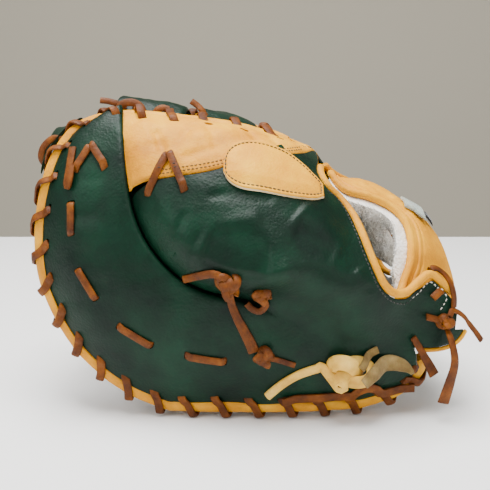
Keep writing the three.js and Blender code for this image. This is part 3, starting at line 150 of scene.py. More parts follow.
class Side:
    """One half of the mitt. The thumb half mirrors the finger half and reaches less far."""

    def __init__(self, name, mirrored, pitch, top):
        self.name, self.mirrored, self.pitch, self.top = name, mirrored, pitch, top

    def share(self, s):
        return s + (1 - THUMB_REACH) * ((1 - s) / 2) ** 2 if self.mirrored else s

    def turn(self, angle):
        return 2 * RIDGE - angle if self.mirrored else angle


FINGER = Side("finger", False, 23.5, FINGER_TOP)
THUMB = Side("thumb", True, 28.0, THUMB_TOP)


def smooth(x):
    t = np.clip(x, 0, 1)
    return t * t * (3 - 2 * t)


def radius(cos, sin, wide, tall, power):
    return (np.abs(cos / wide) ** power + np.abs(sin / tall) ** power) ** (-1 / power)


def palm_radius(s, angle):
    cos, sin = np.cos(np.radians(angle)), np.sin(np.radians(angle))
    wide = np.where(cos > 0, PALM_FRONT * PALM.at("front", s), PALM_BACK * PALM.at("back", s))
    foot = FOOT_SHARE * HEIGHT * PALM.at("axis", s)
    crown = HEIGHT * PALM.at("crown", s)
    return np.where(sin < 0, radius(cos, sin, wide, foot, 2), radius(cos, sin, wide, crown, CROWN_POWER))


def back_radius(s, angle):
    cos, sin = np.cos(np.radians(angle)), np.sin(np.radians(angle))
    wide = np.where(cos > 0, BACK_FRONT * BACKS.at("front", s), BACK_BACK * BACKS.at("back", s))
    tall = np.where(sin > 0, HEIGHT * BACKS.at("crown", s), FOOT_SHARE * HEIGHT * PALM.at("axis", s))
    return radius(cos, sin, wide, tall, 2)


def place(side, s, angle, offset):
    """Points of the mitt from a share along it, an angle round it and an offset from the palm leather."""
    s, angle, offset = np.broadcast_arrays(np.asarray(s, float), angle, offset)
    s, angle = side.share(s), side.turn(angle)
    out = palm_radius(s, angle) + offset
    turn = np.radians(angle)
    height = HEIGHT * PALM.at("axis", s) + out * np.sin(turn)
    return np.stack([s * HALF, -out * np.cos(turn), height], -1)


def swell(side, s, angle):
    """How far the back's outside stands off the palm leather."""
    s, angle = side.share(np.asarray(s, float)), side.turn(np.asarray(angle, float))
    return back_radius(s, angle) - palm_radius(s, angle)


def unit(v):
    return v / np.maximum(np.linalg.norm(v, axis=-1, keepdims=True), 1e-9)


def dot(a, b):
    return (a * b).sum(-1)


def directions(side, s, angle, offset):
    """Along the length, round the mitt, square to the leather and out from the axis."""
    step = 0.002
    along = (place(side, s + step, angle, offset) - place(side, s - step, angle, offset)) / (2 * step)
    about = (place(side, s, angle + 1, offset) - place(side, s, angle - 1, offset)) / 2
    turn = np.radians(side.turn(np.asarray(angle, float)))
    out = np.stack([np.zeros_like(turn), -np.cos(turn), np.sin(turn)], -1)
    normal = unit(np.cross(along, about))
    normal = np.where((dot(normal, out) < 0)[..., None], -normal, normal)
    return along, about, normal, out


def moved(side, s, angle, offset, way, distance):
    """The spot a distance away from another along the leather."""
    along, about, _, _ = directions(side, s, angle, offset)
    aa, ar, rr = dot(along, along), dot(along, about), dot(about, about)
    da, dr = dot(along, way), dot(about, way)
    det = aa * rr - ar * ar
    return s + (da * rr - dr * ar) / det * distance, angle + (dr * aa - da * ar) / det * distance


# Height of the edge's middle where the mitt stands on its binding and lace
FOOT_TILT = math.radians(43)
FOOT_HEIGHT = (BINDING_WIDTH / 2 + 0.4 + LACE_THICK) * math.cos(FOOT_TILT) + (
    BINDING_DEPTH / 2 + 0.4 + LACE_THICK
) * math.sin(FOOT_TILT)


def edge_line(side, row):
    """The laced edge. Where it comes down to the table it stands on it."""
    s, angle = EDGE.at("s", row), EDGE.at("angle", row)
    low, high = np.full_like(s, -75.0), np.zeros_like(s)
    for _ in range(24):
        middle = (low + high) / 2
        under = place(side, s, middle, EDGE_MIDDLE)[..., 2] < FOOT_HEIGHT
        low, high = np.where(under, middle, low), np.where(under, high, middle)
    return s, np.where(angle < 0, np.maximum(angle, high), angle)


def edge_frame(side, row):
    """The laced edge, the way along it, inwards over the leather and out from the axis."""
    row = np.asarray(row, float)
    s, angle = edge_line(side, row)
    ahead = place(side, *edge_line(side, np.minimum(row + 0.08, LAST_ROW)), 0)
    behind = place(side, *edge_line(side, np.maximum(row - 0.08, 0)), 0)
    on = unit(ahead - behind)
    _, _, normal, out = directions(side, s, angle, 0)
    inwards = unit(np.cross(normal, on))
    ridge = (row > CROTCH_ROW - 1)[..., None]
    middle = np.where(ridge, place(side, s, 40.0, 0), place(side, 0.0 * s, 25.0, 0))
    wrong = dot(inwards, middle - place(side, s, angle, 0)) < 0
    return s, angle, on, np.where(wrong[..., None], -inwards, inwards), out


def inset(side, row, distance):
    """Spots a distance inside the laced edge."""
    s, angle, _, inwards, _ = edge_frame(side, row)
    return moved(side, s, angle, 0, inwards, distance)


def span(side, a, b):
    """Distance between two spots on the palm leather."""
    return np.linalg.norm(place(side, *a, 0) - place(side, *b, 0), axis=-1)


def short_of(side, a, b, offset, on, distance):
    """The share of the way from b to a that leaves a gap beside a line through b."""
    near = (a[0] + (b[0] - a[0]) * 0.98, a[1] + (b[1] - a[1]) * 0.98)
    way = (place(side, *b, offset) - place(side, *near, offset)) / 0.02
    return np.minimum(distance / np.maximum(np.linalg.norm(np.cross(way, on), axis=-1), 1e-6), 0.4)


RIM_CREST = 0.62  # where the rim reaches its full thickness, as a share of its width


def rim_offset(w):
    """Thickness of the rim at a share of its width from the edge."""
    return EDGE_PAD + (PAD - EDGE_PAD) * (1 - (1 - np.minimum(w / RIM_CREST, 1)) ** 2)


def openness(t):
    """0 where the slot between rim and back is closed, 1 where it is open."""
    return smooth((t - SLOT_OPEN + 1.5) / 1.5)


def slot_line(t):
    return SLOT.at("s", t), SLOT.at("angle", t)


def top_line(side, t):
    return side.top.at("s", t), side.top.at("angle", t)


BACK_REACH, DOME_REACH = 42, 20  # how far the back takes to rise, without and with the slot beside it


def back_offset(side, t, s, angle, distance):
    opened = openness(t)
    start = PAD - SLOT_DEPTH * opened
    reach = BACK_REACH - (BACK_REACH - DOME_REACH) * opened
    rise = np.sin(np.pi / 2 * np.minimum(distance / reach, 1))
    soft = smooth(distance / reach)
    full = np.maximum(swell(side, s, angle), start)
    return start + (full - start) * (opened * rise + (1 - opened) * soft)


def top_offset(side, t):
    top = top_line(side, t)
    return back_offset(side, t, *top, span(side, slot_line(t), top))


def top_point(side, t, depth):
    return place(side, *top_line(side, t), top_offset(side, t) - depth)


def top_direction(side, t):
    return unit(top_point(side, t + 0.04, 0) - top_point(side, t - 0.04, 0))


def back_inner(outer, distance):
    """The inside of the back, hollow for the fingers away from the slot."""
    hollow = smooth((distance - 3) / 16)
    return LAYER_GAP + np.maximum(outer - BACK_LEATHER - LAYER_GAP, 0) * hollow


def slot_at_edge(row):
    grid = np.linspace(0, SLOT_TOP, 4000)
    return np.interp(row, SLOT.at("edge", grid), grid)


# The row frame: the web post's box says where the mitt's own origin lies
post_low, post_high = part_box("web_post")
WEB_POST = Table("s half rise", [
    (0.18, 5, -0.4), (0.06, 6.5, -0.1), (-0.1, 7, 0.12), (-0.28, 7, 0.34), (-0.5, 7, 0.5), (-0.68, 7, -1.1),
    (-0.84, 6, -2.6),
])
post_rows = np.arange(7.0)
post_top = place(FINGER, WEB_POST.at("s", post_rows), RIDGE, EDGE_MIDDLE - WEB_LEATHER / 2)[:, 2]
post_top = (post_top + WEB_RISE * WEB_POST.at("rise", post_rows) - FIT_GAP).max()
SHIFT = np.array([
    post_low.x * 1000 + 0.84 * HALF,
    (post_low.y + post_high.y) * 500,
    post_high.z * 1000 - post_top,
])


SETTLE = 3.2  # how far the lowest leather sinks until its laces meet the table
SETTLE_UP_TO = 34.0  # the height at which nothing sinks any more


def in_place(points):
    """Points of the mitt in the row frame, in metres."""
    points = points + SHIFT
    low = smooth((SETTLE_UP_TO - points[..., 2]) / SETTLE_UP_TO)
    points[..., 2] -= SETTLE * low
    return points / 1000


# Meshes
def grid_faces(rows, cols, around=False):
    index = np.arange(rows * cols).reshape(rows, cols)
    if around:
        index = np.hstack([index, index[:, :1]])
    corners = [index[:-1, :-1], index[1:, :-1], index[1:, 1:], index[:-1, 1:]]
    return np.stack(corners, -1).reshape(-1, 4)


def wall(outer, inner, keep=None):
    """Two grids of points with side walls round every stretch that is kept."""
    rows, cols = outer.shape[:2]
    count = rows * cols
    keep = np.ones((rows - 1, cols - 1), bool) if keep is None else keep
    index = np.arange(count).reshape(rows, cols)
    a, b, c, d = index[:-1, :-1], index[1:, :-1], index[1:, 1:], index[:-1, 1:]
    pad = np.pad(keep, 1)
    faces = [np.stack([a, b, c, d], -1)[keep], np.stack([a, d, c, b], -1)[keep] + count]
    for beside, (p, q) in (
        (pad[1:-1, :-2], (b, a)), (pad[1:-1, 2:], (d, c)),
        (pad[:-2, 1:-1], (a, d)), (pad[2:, 1:-1], (c, b)),
    ):
        border = keep & ~beside
        faces.append(np.stack([p, q, q + count, p + count], -1)[border])
    faces = np.concatenate(faces)
    used, faces = np.unique(faces, return_inverse=True)
    points = np.concatenate([outer.reshape(-1, 3), inner.reshape(-1, 3)])[used]
    return points, outwards(points, faces.reshape(-1, 4))


def outwards(points, faces):
    a, b, c = points[faces[:, 0]], points[faces[:, 1]], points[faces[:, 2]]
    d = points[faces[:, -1]]
    volume = dot(a, np.cross(b, c)).sum() + dot(a, np.cross(c, d)).sum()
    return faces[:, ::-1] if volume < 0 else faces


def tube_shape(rings):
    """A closed body through rings of points, with flat ends."""
    count, size = rings.shape[:2]
    points = rings.reshape(-1, 3)
    faces = outwards(points, grid_faces(count, size, True)).tolist()
    flipped = faces[0][0] != 0
    first, last = list(range(size)), list(range((count - 1) * size, count * size))
    faces.append(first if not flipped else first[::-1])
    faces.append(last[::-1] if not flipped else last)
    return points, faces


def joined(shapes):
    points, faces, start = [], [], 0
    for p, f in shapes:
        points.append(p)
        faces.extend([[int(i) + start for i in face] for face in f])
        start += len(p)
    return np.concatenate(points), faces


def mesh_object(name, shape, sharp=40):
    points, faces = shape
    mesh = bpy.data.meshes.new(name)
    faces = faces.tolist() if isinstance(faces, np.ndarray) else faces
    mesh.from_pydata(in_place(points).tolist(), [], faces)
    mesh.validate()
    mesh.shade_smooth()
    mesh.set_sharp_from_angle(angle=math.radians(sharp))
    obj = bpy.data.objects.new(name, mesh)
    bpy.context.scene.collection.objects.link(obj)
    return obj


def shaded(obj, slot, materials, *nodes, pad=None):
    """Gives a piece its materials: the first for its faces, the second where its faces ask for it."""
    numbers = np.zeros(len(obj.data.polygons), np.int32)
    obj.data.polygons.foreach_get("material_index", numbers)
    obj.data.materials.clear()
    for one in materials:
        obj.data.materials.append(one)
    obj.data.polygons.foreach_set("material_index", np.minimum(numbers, len(materials) - 1))
    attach(obj, "root")
    if nodes:
        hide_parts(*nodes)
    return obj


def edge_faces(obj, first):
    """The faces from number first on, a wall's cut edges, take the second material."""
    numbers = np.zeros(len(obj.data.polygons), int)
    numbers[first:] = 1
    obj.data.polygons.foreach_set("material_index", numbers.astype(np.int32))


def cut(obj, cutters):
    """Takes the lace holes out of a leather."""
    knife = mesh_object("lace_holes", joined(cutters))
    change = obj.modifiers.new("holes", "BOOLEAN")
    change.operation = "DIFFERENCE"
    change.solver = "MANIFOLD"
    change.object = knife
    bpy.context.view_layer.update()
    graph = bpy.context.evaluated_depsgraph_get()
    mesh = bpy.data.meshes.new_from_object(obj.evaluated_get(graph))
    obj.modifiers.clear()
    obj.data = mesh
    mesh.set_sharp_from_angle(angle=math.radians(40))
    bpy.data.objects.remove(knife)


# Soft unevenness of leather: a few seeded waves, and creases along listed lines
WAVES = {}


def waves(points, size, seed):
    if seed not in WAVES:
        draw = np.random.default_rng(seed)
        ways = unit(draw.normal(size=(14, 3)))
        WAVES[seed] = (ways, draw.uniform(0.6, 1.7, 14), draw.uniform(0, 6.3, 14))
    way, scale, start = WAVES[seed]
    phase = points @ way.T * (2 * np.pi * scale / size) + start
    return np.sin(phase).mean(-1) * 2.2


def line_distance(points, line):
    """Distance of each point from a line of points, and the share along it of the nearest place."""
    flat = points.reshape(-1, 3)
    best, where = np.full(len(flat), 1e9), np.zeros(len(flat))
    for i in range(len(line) - 1):
        a, b = line[i], line[i + 1]
        t = np.clip((flat - a) @ (b - a) / max(dot(b - a, b - a), 1e-9), 0, 1)
        far = np.linalg.norm(flat - a - t[:, None] * (b - a), axis=-1)
        closer = far < best
        best, where = np.where(closer, far, best), np.where(closer, (i + t) / (len(line) - 1), where)
    return best.reshape(points.shape[:-1]), where.reshape(points.shape[:-1])


def curve_through(points, step):
    """Points along a smooth curve, about a step apart."""
    points = np.asarray(points, float)
    padded = np.vstack([2 * points[0] - points[1], points, 2 * points[-1] - points[-2]])
    out = []
    for i in range(1, len(padded) - 2):
        p0, p1, p2, p3 = padded[i - 1:i + 3]
        count = max(int(np.linalg.norm((p2 - p1)[:3]) / step), 1)
        t = np.arange(count)[:, None] / count
        out.append(0.5 * (2 * p1 + (p2 - p0) * t + (2 * p0 - 5 * p1 + 4 * p2 - p3) * t**2
                          + (3 * p1 - p0 - 3 * p2 + p3) * t**3))
    out.append(padded[-2][None])
    return np.vstack(out)


RELIEF_WIDER, RELIEF_HIGHER = 1.35, 1.4  # against the widths and heights that the crease tables state


def relief(side, points, creases):
    """Raised (+) and sunk (-) soft lines in the leather, each fading at both ends."""
    total = np.zeros(points.shape[:-1])
    for height, width, spots in creases:
        spots = np.array(spots, float)
        line = place(side, spots[:, 0], spots[:, 1], swell(side, spots[:, 0], spots[:, 1]))
        line = curve_through(line, 6)
        away, where = line_distance(points, line)
        away = away / RELIEF_WIDER
        height = height * RELIEF_HIGHER
        fade = smooth(where / 0.18) * smooth((1 - where) / 0.18)
        total += height * np.exp(-((away / width) ** 2)) * fade
    return total


# Round edges: how far a leather's face drops at a distance from its border
def drop(distance, r):
    x = np.clip(1 - distance / r, 0, 1)
    return r * (1 - np.sqrt(1 - x * x))


FINE = np.array([0, 0.12, 0.35, 0.7, 1.2, 1.9, 2.8, 4.0])


def spread(length, count):
    """Distances across each row, closer together near both borders."""
    length = np.asarray(length, float)[:, None]
    reach = np.minimum(FINE / FINE[-1], 1) * np.minimum(FINE[-1], length * 0.3)
    middle = np.linspace(0, 1, count + 2)[1:-1]
    inside = reach[:, -1:] + (length - 2 * reach[:, -1:]) * middle
    return np.hstack([reach, inside, length - reach[:, ::-1]])


# Creases of the finger half's leathers, as (height, half width, spots)
FINGER_CREASES = [
    (1.9, 8.0, [(0.2, 44), (0.27, 41), (0.36, 38), (0.42, 36)]),
    (-1.7, 7.5, [(0.18, 38), (0.27, 36), (0.38, 33)]),
    (-4.5, 9.0, [(-0.2, 27), (-0.12, 25.5), (0.0, 25), (0.1, 26)]),
    (2.4, 10.0, [(0.05, 18), (0.2, 18), (0.35, 20), (0.5, 20)]),
    (-2.4, 9.0, [(0.1, 12.5), (0.22, 12), (0.36, 13), (0.5, 14.5)]),
    (-0.8, 1.6, [(0.08, 9), (0.13, 4), (0.19, -1)]),
    (-0.7, 1.5, [(0.12, 10), (0.17, 4.5), (0.22, 0)]),
    (-2.5, 8.5, [(0.26, 5), (0.34, 1), (0.42, -4), (0.47, -8)]),
    (1.7, 8.5, [(0.22, 3), (0.3, -2), (0.36, -7)]),
    (-2.0, 3.6, [(0.58, 24), (0.65, 19), (0.73, 14), (0.8, 9)]),
    (1.8, 4.5, [(0.6, 18), (0.67, 13), (0.75, 8)]),
    (-1.2, 3.0, [(0.55, 14), (0.61, 9), (0.67, 4)]),
    (-1.0, 2.4, [(0.66, 25), (0.74, 21), (0.82, 15)]),
    (-3.4, 4.5, [(0.6, 6), (0.66, 6.5), (0.72, 7), (0.77, 7)]),
    (-1.0, 2.4, [(0.5, 26), (0.56, 20), (0.6, 14)]),
    (1.0, 4.0, [(0.45, 30), (0.5, 25), (0.53, 20)]),
    (-0.9, 2.2, [(-0.3, 22), (-0.24, 27), (-0.2, 33)]),
    (-0.8, 2.0, [(-0.36, 28), (-0.3, 33), (-0.27, 39)]),
    (0.9, 4.0, [(-0.15, 33), (-0.05, 36), (0.06, 38)]),
    (-0.9, 2.4, [(-0.2, 43), (-0.1, 44.5), (0.0, 44.5), (0.12, 45)]),
    (-0.9, 2.4, [(0.7, 33), (0.8, 31), (0.9, 27)]),
    (-0.8, 2.0, [(0.78, 38), (0.86, 34), (0.94, 28)]),
]
RIM_CREASES = [
    (-1.4, 3.0, [(-0.86, 40), (-0.8, 37), (-0.74, 36), (-0.66, 38)]),
    (-1.0, 2.5, [(-0.84, 22), (-0.76, 20), (-0.66, 20)]),
    (-1.1, 3.0, [(-0.72, 6), (-0.64, 8), (-0.56, 14)]),
    (-0.9, 2.2, [(-0.6, -4), (-0.5, 0), (-0.42, 8)]),
    (-0.9, 2.2, [(-0.36, -10), (-0.28, -6), (-0.2, 0)]),
    (-0.8, 2.2, [(-0.04, -12), (0.02, -8), (0.06, -3)]),
    (-1.0, 2.6, [(0.1, -20), (0.2, -18), (0.32, -17)]),
    (-1.0, 2.6, [(0.36, -22), (0.46, -18), (0.56, -14)]),
    (1.0, 5.0, [(-0.8, 30), (-0.72, 28), (-0.62, 30)]),
    (-0.8, 2.2, [(-0.88, 55), (-0.8, 52), (-0.7, 50), (-0.62, 52)]),
]
PANEL_CREASES = [
    (-1.3, 2.6, [(-0.42, 66), (-0.38, 60), (-0.36, 55)]),
    (-1.0, 2.2, [(-0.34, 57.5), (-0.3, 62), (-0.26, 67)]),
    (-1.0, 2.2, [(-0.37, 57), (-0.4, 62), (-0.45, 68)]),
    (-1.2, 2.4, [(-0.3, 55.5), (-0.22, 57.5), (-0.12, 60)]),
    (1.2, 4.0, [(-0.5, 70), (-0.44, 66), (-0.4, 60)]),
    (-1.1, 2.8, [(-0.2, 70), (-0.16, 64), (-0.14, 58)]),
    (-0.9, 2.4, [(-0.02, 72), (0.02, 67), (0.06, 62)]),
    (-0.9, 2.4, [(0.08, 72), (0.12, 68), (0.16, 66)]),
    (-0.9, 2.6, [(-0.1, 56), (0.0, 59.5), (0.1, 63.5)]),
    (0.9, 4.5, [(-0.28, 62), (-0.16, 65), (-0.04, 68)]),
]
STRAP_CREASES = [
    (-0.9, 2.6, [(0.6, 75), (0.68, 74), (0.76, 70)]),
    (-0.8, 2.4, [(0.72, 62), (0.8, 60), (0.88, 58)]),
    (-1.0, 2.6, [(0.76, 54), (0.83, 52), (0.9, 51)]),
    (1.0, 4.0, [(0.66, 80), (0.74, 77), (0.8, 74)]),
    (-0.9, 2.2, [(0.56, 84), (0.62, 80), (0.7, 78)]),
    (-0.8, 2.0, [(0.5, 80), (0.56, 76), (0.6, 73)]),
]


# Rim and back of one half: one leather with a slot between them
def shell_grid(side, rows, rim_count, back_count):
    t = rows
    slot = slot_line(t)
    row = SLOT.at("edge", t)
    edge = inset(side, row, TRIM)
    width = span(side, edge, slot)
    away = spread(width - SLOT_WIDTH / 2, rim_count)
    w = away / width[:, None]
    rim_s = edge[0][:, None] + (slot[0] - edge[0])[:, None] * w
    rim_a = edge[1][:, None] + (slot[1] - edge[1])[:, None] * w
    limit = (1 - SLOT_WIDTH / 2 / width)[:, None]
    opened = openness(t)[:, None]
    left = width[:, None] - SLOT_WIDTH / 2 - away
    rim_outer = rim_offset(w / limit) - drop(left, 4.5) * 0.8 * opened - drop(away, 1.4)
    rim_inner = LAYER_GAP * (1 + smooth(t - SEAM_END))[:, None] + 0 * w

    tt = np.minimum(t, SEAM_END)
    top = top_line(side, tt)
    long = np.maximum(span(side, slot, top), 1)
    trim = np.where(t < CORNER, ROLL / 2 + ROLL_GAP - 1.0, SEAM_SPLIT - 0.3)
    start = np.minimum(SLOT_WIDTH / 2 / long, 0.4)
    end = 1 - short_of(side, slot, top, top_offset(side, tt), top_direction(side, tt), trim)
    across = spread((end - start) * long, back_count)
    share = start[:, None] + across / long[:, None]
    back_s = slot[0][:, None] + (top[0] - slot[0])[:, None] * share
    back_a = slot[1][:, None] + (top[1] - slot[1])[:, None] * share
    bend = 4 * share * (1 - share)
    back_s = back_s + bend * side.top.at("bow", tt)[:, None]
    back_a = back_a - bend * side.top.at("sag", tt)[:, None]
    distance = share * long[:, None]
    back_outer = back_offset(side, t[:, None], back_s, back_a, distance)
    back_inside = back_inner(back_outer, distance)
    far = ((end - start) * long)[:, None] - across
    back_outer = back_outer - drop(far, 1.2)
    s, angle = np.hstack([rim_s, back_s]), np.hstack([rim_a, back_a])
    return s, angle, np.hstack([rim_outer, back_outer]), np.hstack([rim_inner, back_inside]), rim_s.shape[1]


def build_shell(side, holes, material):
    fine = side is FINGER
    rows = np.unique(np.round(np.concatenate([
        np.linspace(0, SLOT_TOP, 300 if fine else 110), [0.03, 0.08, 0.16, SLOT_OPEN, CORNER, SEAM_END],
    ]), 4))
    s, angle, outer, inner, first = shell_grid(side, rows, 22 if fine else 10, 58 if fine else 22)
    face = place(side, s, angle, outer)
    rim = np.arange(s.shape[1])[None] < first
    amount = waves(face, 58, 3) * 0.9 + waves(face, 23, 4) * 0.25
    if fine:
        amount = amount + np.where(rim, relief(side, face, RIM_CREASES),
                                   relief(side, face, FINGER_CREASES))
    calm = np.minimum(smooth(rows[:, None] / 0.2) + 0.2, 1)
    at_slot = np.abs(np.arange(s.shape[1])[None] - first + 0.5) < 0.6
    border = 1 - at_slot * openness(rows)[:, None]
    outer = outer + amount * calm * border
    outer = np.maximum(outer, inner + np.where(rim, 3.0, 1.4))
    outer = outer - drop(rows[:, None] * 70, 1.2) * 0.7
    gap = first - 1
    keep = np.ones((len(rows) - 1, s.shape[1] - 1), bool)
    after = rows[1:, None]
    columns = np.arange(s.shape[1] - 1)[None]
    keep &= (columns != gap) | (after <= SLOT_OPEN)
    keep &= (columns <= gap) | (after <= SEAM_END)
    shape = wall(place(side, s, angle, outer), place(side, s, angle, inner), keep)
    obj = mesh_object(f"{side.name}_back", shape)
    cut(obj, holes)
    return shaded(obj, "green_leather", [material], f"{side.name}_shell", pad=0.7)


PANEL_EDGE = (15.05, 19.1)


def build_panel(side, holes, material):
    fine = side is FINGER
    p = np.unique(np.concatenate([np.linspace(0, 1, 150 if fine else 50), 0.002 * np.arange(4)]))
    t = SEAM_END - (SEAM_END - CORNER) * p
    seam = top_line(side, t)
    edge = inset(side, PANEL_EDGE[0] + (PANEL_EDGE[1] - PANEL_EDGE[0]) * p, TRIM)
    low = top_offset(side, t)
    start = short_of(side, edge, seam, low, top_direction(side, t), SEAM_SPLIT - 0.5)
    long = span(side, seam, edge)
    across = spread((1 - start) * long, 44 if fine else 16)
    w = start[:, None] + across / long[:, None]
    s = seam[0][:, None] + (edge[0] - seam[0])[:, None] * w
    angle = seam[1][:, None] + (edge[1] - seam[1])[:, None] * w
    s = s + np.where(p < 0.01, (SLOT_WIDTH / 2 + 0.4) / HALF, 0)[:, None]
    s = s - (6.5 / HALF * smooth((0.14 - p) / 0.14))[:, None]
    outer = low[:, None] + (EDGE_PAD - low[:, None]) * w**1.6
    hollow = smooth((1 - w) / 0.7)
    base = LAYER_GAP * (1 + p[:, None] ** 4)
    inner = base + np.maximum(outer - BACK_LEATHER - base, 0) * hollow
    face = place(side, s, angle, outer)
    swing = waves(face, 34, 8) * 0.5 + waves(face, 13, 9) * 0.22
    if fine:
        swing = swing + relief(side, face, PANEL_CREASES)
    ends = smooth(p * 60)[:, None] * smooth((1 - p) * 60)[:, None] * smooth(across / 2)
    outer = outer + swing * ends + 0.9 - drop(across, 1.3)
    outer = outer - drop(np.minimum(p, 1 - p)[:, None] * 90, 1.4)
    outer = np.maximum(outer, inner + 1.2)
    shape = wall(place(side, s, angle, outer), place(side, s, angle, inner))
    obj = mesh_object(f"{side.name}_web_leather", shape)
    cut(obj, holes)
    return shaded(obj, "tan_leather", [material], f"{side.name}_web_panel")


# The palm of both halves and its lining
CROTCH_SHARE = (LAST_ROW - CROTCH_ROW) / (LAST_ROW - TIP_ROW)


def palm_spots(side, v, w):
    """Spots of one half's palm: v from heel and crotch to the tip, w from the lower edge to the ridge."""
    low = inset(side, TIP_ROW * v, TRIM)
    high_row = LAST_ROW - (LAST_ROW - TIP_ROW) * v
    bound, trimmed = edge_line(side, high_row), inset(side, high_row, TRIM)
    whole = v <= CROTCH_SHARE + 1e-6
    high = [np.where(whole, b, q) for b, q in zip(bound, trimmed)]
    return [a[:, None] + (b - a)[:, None] * w[None] for a, b in zip(low, high)]


def palm_grid(v, w, offset):
    near = place(FINGER, *palm_spots(FINGER, v, w), offset)
    far = place(THUMB, *palm_spots(THUMB, v, w), offset)
    return np.concatenate([near, far[:, ::-1]], 1)


def build_palm(holes, green, dark):
    v = np.unique(np.concatenate([np.linspace(0, 0.98, 90), [CROTCH_SHARE]]))
    w = np.unique(np.concatenate([np.linspace(0, 1, 26), [0.01, 0.03, 0.97, 0.99]]))
    keep = np.ones((len(v) - 1, 2 * len(w) - 1), bool)
    keep[:, len(w) - 1] = v[1:] <= CROTCH_SHARE + 1e-6
    outer, inner = palm_grid(v, w, 0.0), palm_grid(v, w, -PALM_LEATHER)
    inner = inner + waves(inner, 40, 11)[..., None] * 0.25 * np.array([0, 0, 1.0])
    obj = mesh_object("palm_leather", wall(outer, inner, keep))
    cut(obj, holes)
    shaded(obj, "green_leather", [green], "palm")
    v, w = np.linspace(0, 0.235, 40), np.linspace(0.4, 1, 24)
    low, high = palm_grid(v, w, 0.3), palm_grid(v, w, 1.5)
    high = high + waves(high, 22, 12)[..., None] * 0.3 * np.array([0, 0, 1.0])
    shaded(mesh_object("lining_cloth", wall(high, low)), "dark_lining", [dark], "hand_lining")


# Ribbons, rolls and stitches
SECTION = np.array([
    (-0.5, -0.1), (-0.47, -0.36), (-0.34, -0.5), (0.34, -0.5), (0.47, -0.36), (0.5, -0.1), (0.5, 0.1),
    (0.47, 0.36), (0.34, 0.5), (0.0, 0.54), (-0.34, 0.5), (-0.47, 0.36), (-0.5, 0.1),
])  # of a lace, in its widths and thicknesses


def ribbon(points, normals, width=LACE_WIDTH, thick=LACE_THICK, taper=None, curl=0.0):
    """A flat lace along points with its outer face towards the normals."""
    points, normals = np.asarray(points, float), np.asarray(normals, float)
    on = unit(np.gradient(points, axis=0))
    across = unit(np.cross(on, normals))
    for _ in range(2):
        across[1:-1] = unit(across[:-2] + across[1:-1] * 2 + across[2:])
    face = unit(np.cross(across, on))
    widths = np.full(len(points), float(width)) if taper is None else width * np.asarray(taper)
    u, h = SECTION[:, 0], SECTION[:, 1]
    bow = curl * (0.25 - u * u) * 4
    rings = (points[:, None] + across[:, None] * (u[None, :, None] * widths[:, None, None])
             + face[:, None] * ((h + bow)[None, :, None] * thick))
    return tube_shape(rings)


def roll(points, diameter, sides=14, lumps=0.05, seed=21):
    """A slightly uneven round roll along points."""
    points = np.asarray(points, float)
    on = unit(np.gradient(points, axis=0))
    across = np.zeros_like(on)
    across[0] = unit(np.cross(on[0], [0.3, 0.2, 1.0]))
    for i in range(1, len(on)):
        across[i] = unit(across[i - 1] - on[i] * dot(across[i - 1], on[i]))
    other = np.cross(on, across)
    turn = np.linspace(0, 2 * np.pi, sides, endpoint=False)
    size = diameter / 2 * (1 + lumps * waves(points, 17, seed) + 0.5 * lumps * waves(points, 6, seed + 1))
    size[0] *= 0.7
    size[-1] *= 0.7
    rings = (points[:, None] + across[:, None] * (np.cos(turn)[None, :, None] * size[:, None, None])
             + other[:, None] * (np.sin(turn)[None, :, None] * size[:, None, None]))
    return tube_shape(rings)


def stitches(points, normals, length=2.3, pitch=3.4, thick=0.75):
    """Short threads along a line, half sunk in the leather."""
    points, normals = np.asarray(points, float), np.asarray(normals, float)
    far = np.concatenate([[0], np.cumsum(np.linalg.norm(np.diff(points, axis=0), axis=1))])
    shapes = []
    for middle in np.arange(pitch / 2, far[-1] - pitch / 2, pitch):
        ring_points = []
        for share, rise in ((-0.5, -0.5), (-0.3, 0.25), (0.0, 0.42), (0.3, 0.25), (0.5, -0.5)):
            where = middle + share * length
            at = np.array([np.interp(where, far, points[:, k]) for k in range(3)])
            up = unit(np.array([np.interp(where, far, normals[:, k]) for k in range(3)]))
            ring_points.append((at + up * rise * thick, up))
        line = np.array([q[0] for q in ring_points])
        up = np.array([q[1] for q in ring_points])
        on = unit(np.gradient(line, axis=0))
        beside = unit(np.cross(on, up))
        face = np.cross(beside, on)
        turn = np.linspace(0, 2 * np.pi, 6, endpoint=False)
        rings = (line[:, None] + beside[:, None] * np.cos(turn)[None, :, None] * thick / 2
                 + face[:, None] * np.sin(turn)[None, :, None] * thick / 2)
        shapes.append(tube_shape(rings))
    return shapes


# What lies under a spot of the finger half, found by looking down on the pieces already made
COVER = []


def add_cover(obj):
    points = [v.co.copy() for v in obj.data.vertices]
    COVER.append(BVHTree.FromPolygons(points, [tuple(f.vertices) for f in obj.data.polygons]))


LOOK_FROM = 120.0  # millimetres over the palm leather, above every piece


def cover_at(s, angle, trees=None, no_other=False):
    """Height over the palm leather of what lies under a spot, and which way it faces."""
    _, _, normal, out = directions(FINGER, s, angle, 0.0)
    start = place(FINGER, s, angle, LOOK_FROM)
    origin = Vector((start + SHIFT) / 1000)
    best, facing = 1e9, Vector(out)
    for tree in COVER if trees is None else trees:
        hit, direction, _, distance = tree.ray_cast(origin, Vector(-out), 0.2)
        if hit is not None and distance < best:
            best, facing = distance, direction
    if best > 1:
        return (None, normal) if no_other else beside_hole(s, angle, trees)
    facing = np.array(facing)
    return LOOK_FROM - best * 1000, -facing if dot(facing, out) < 0 else facing


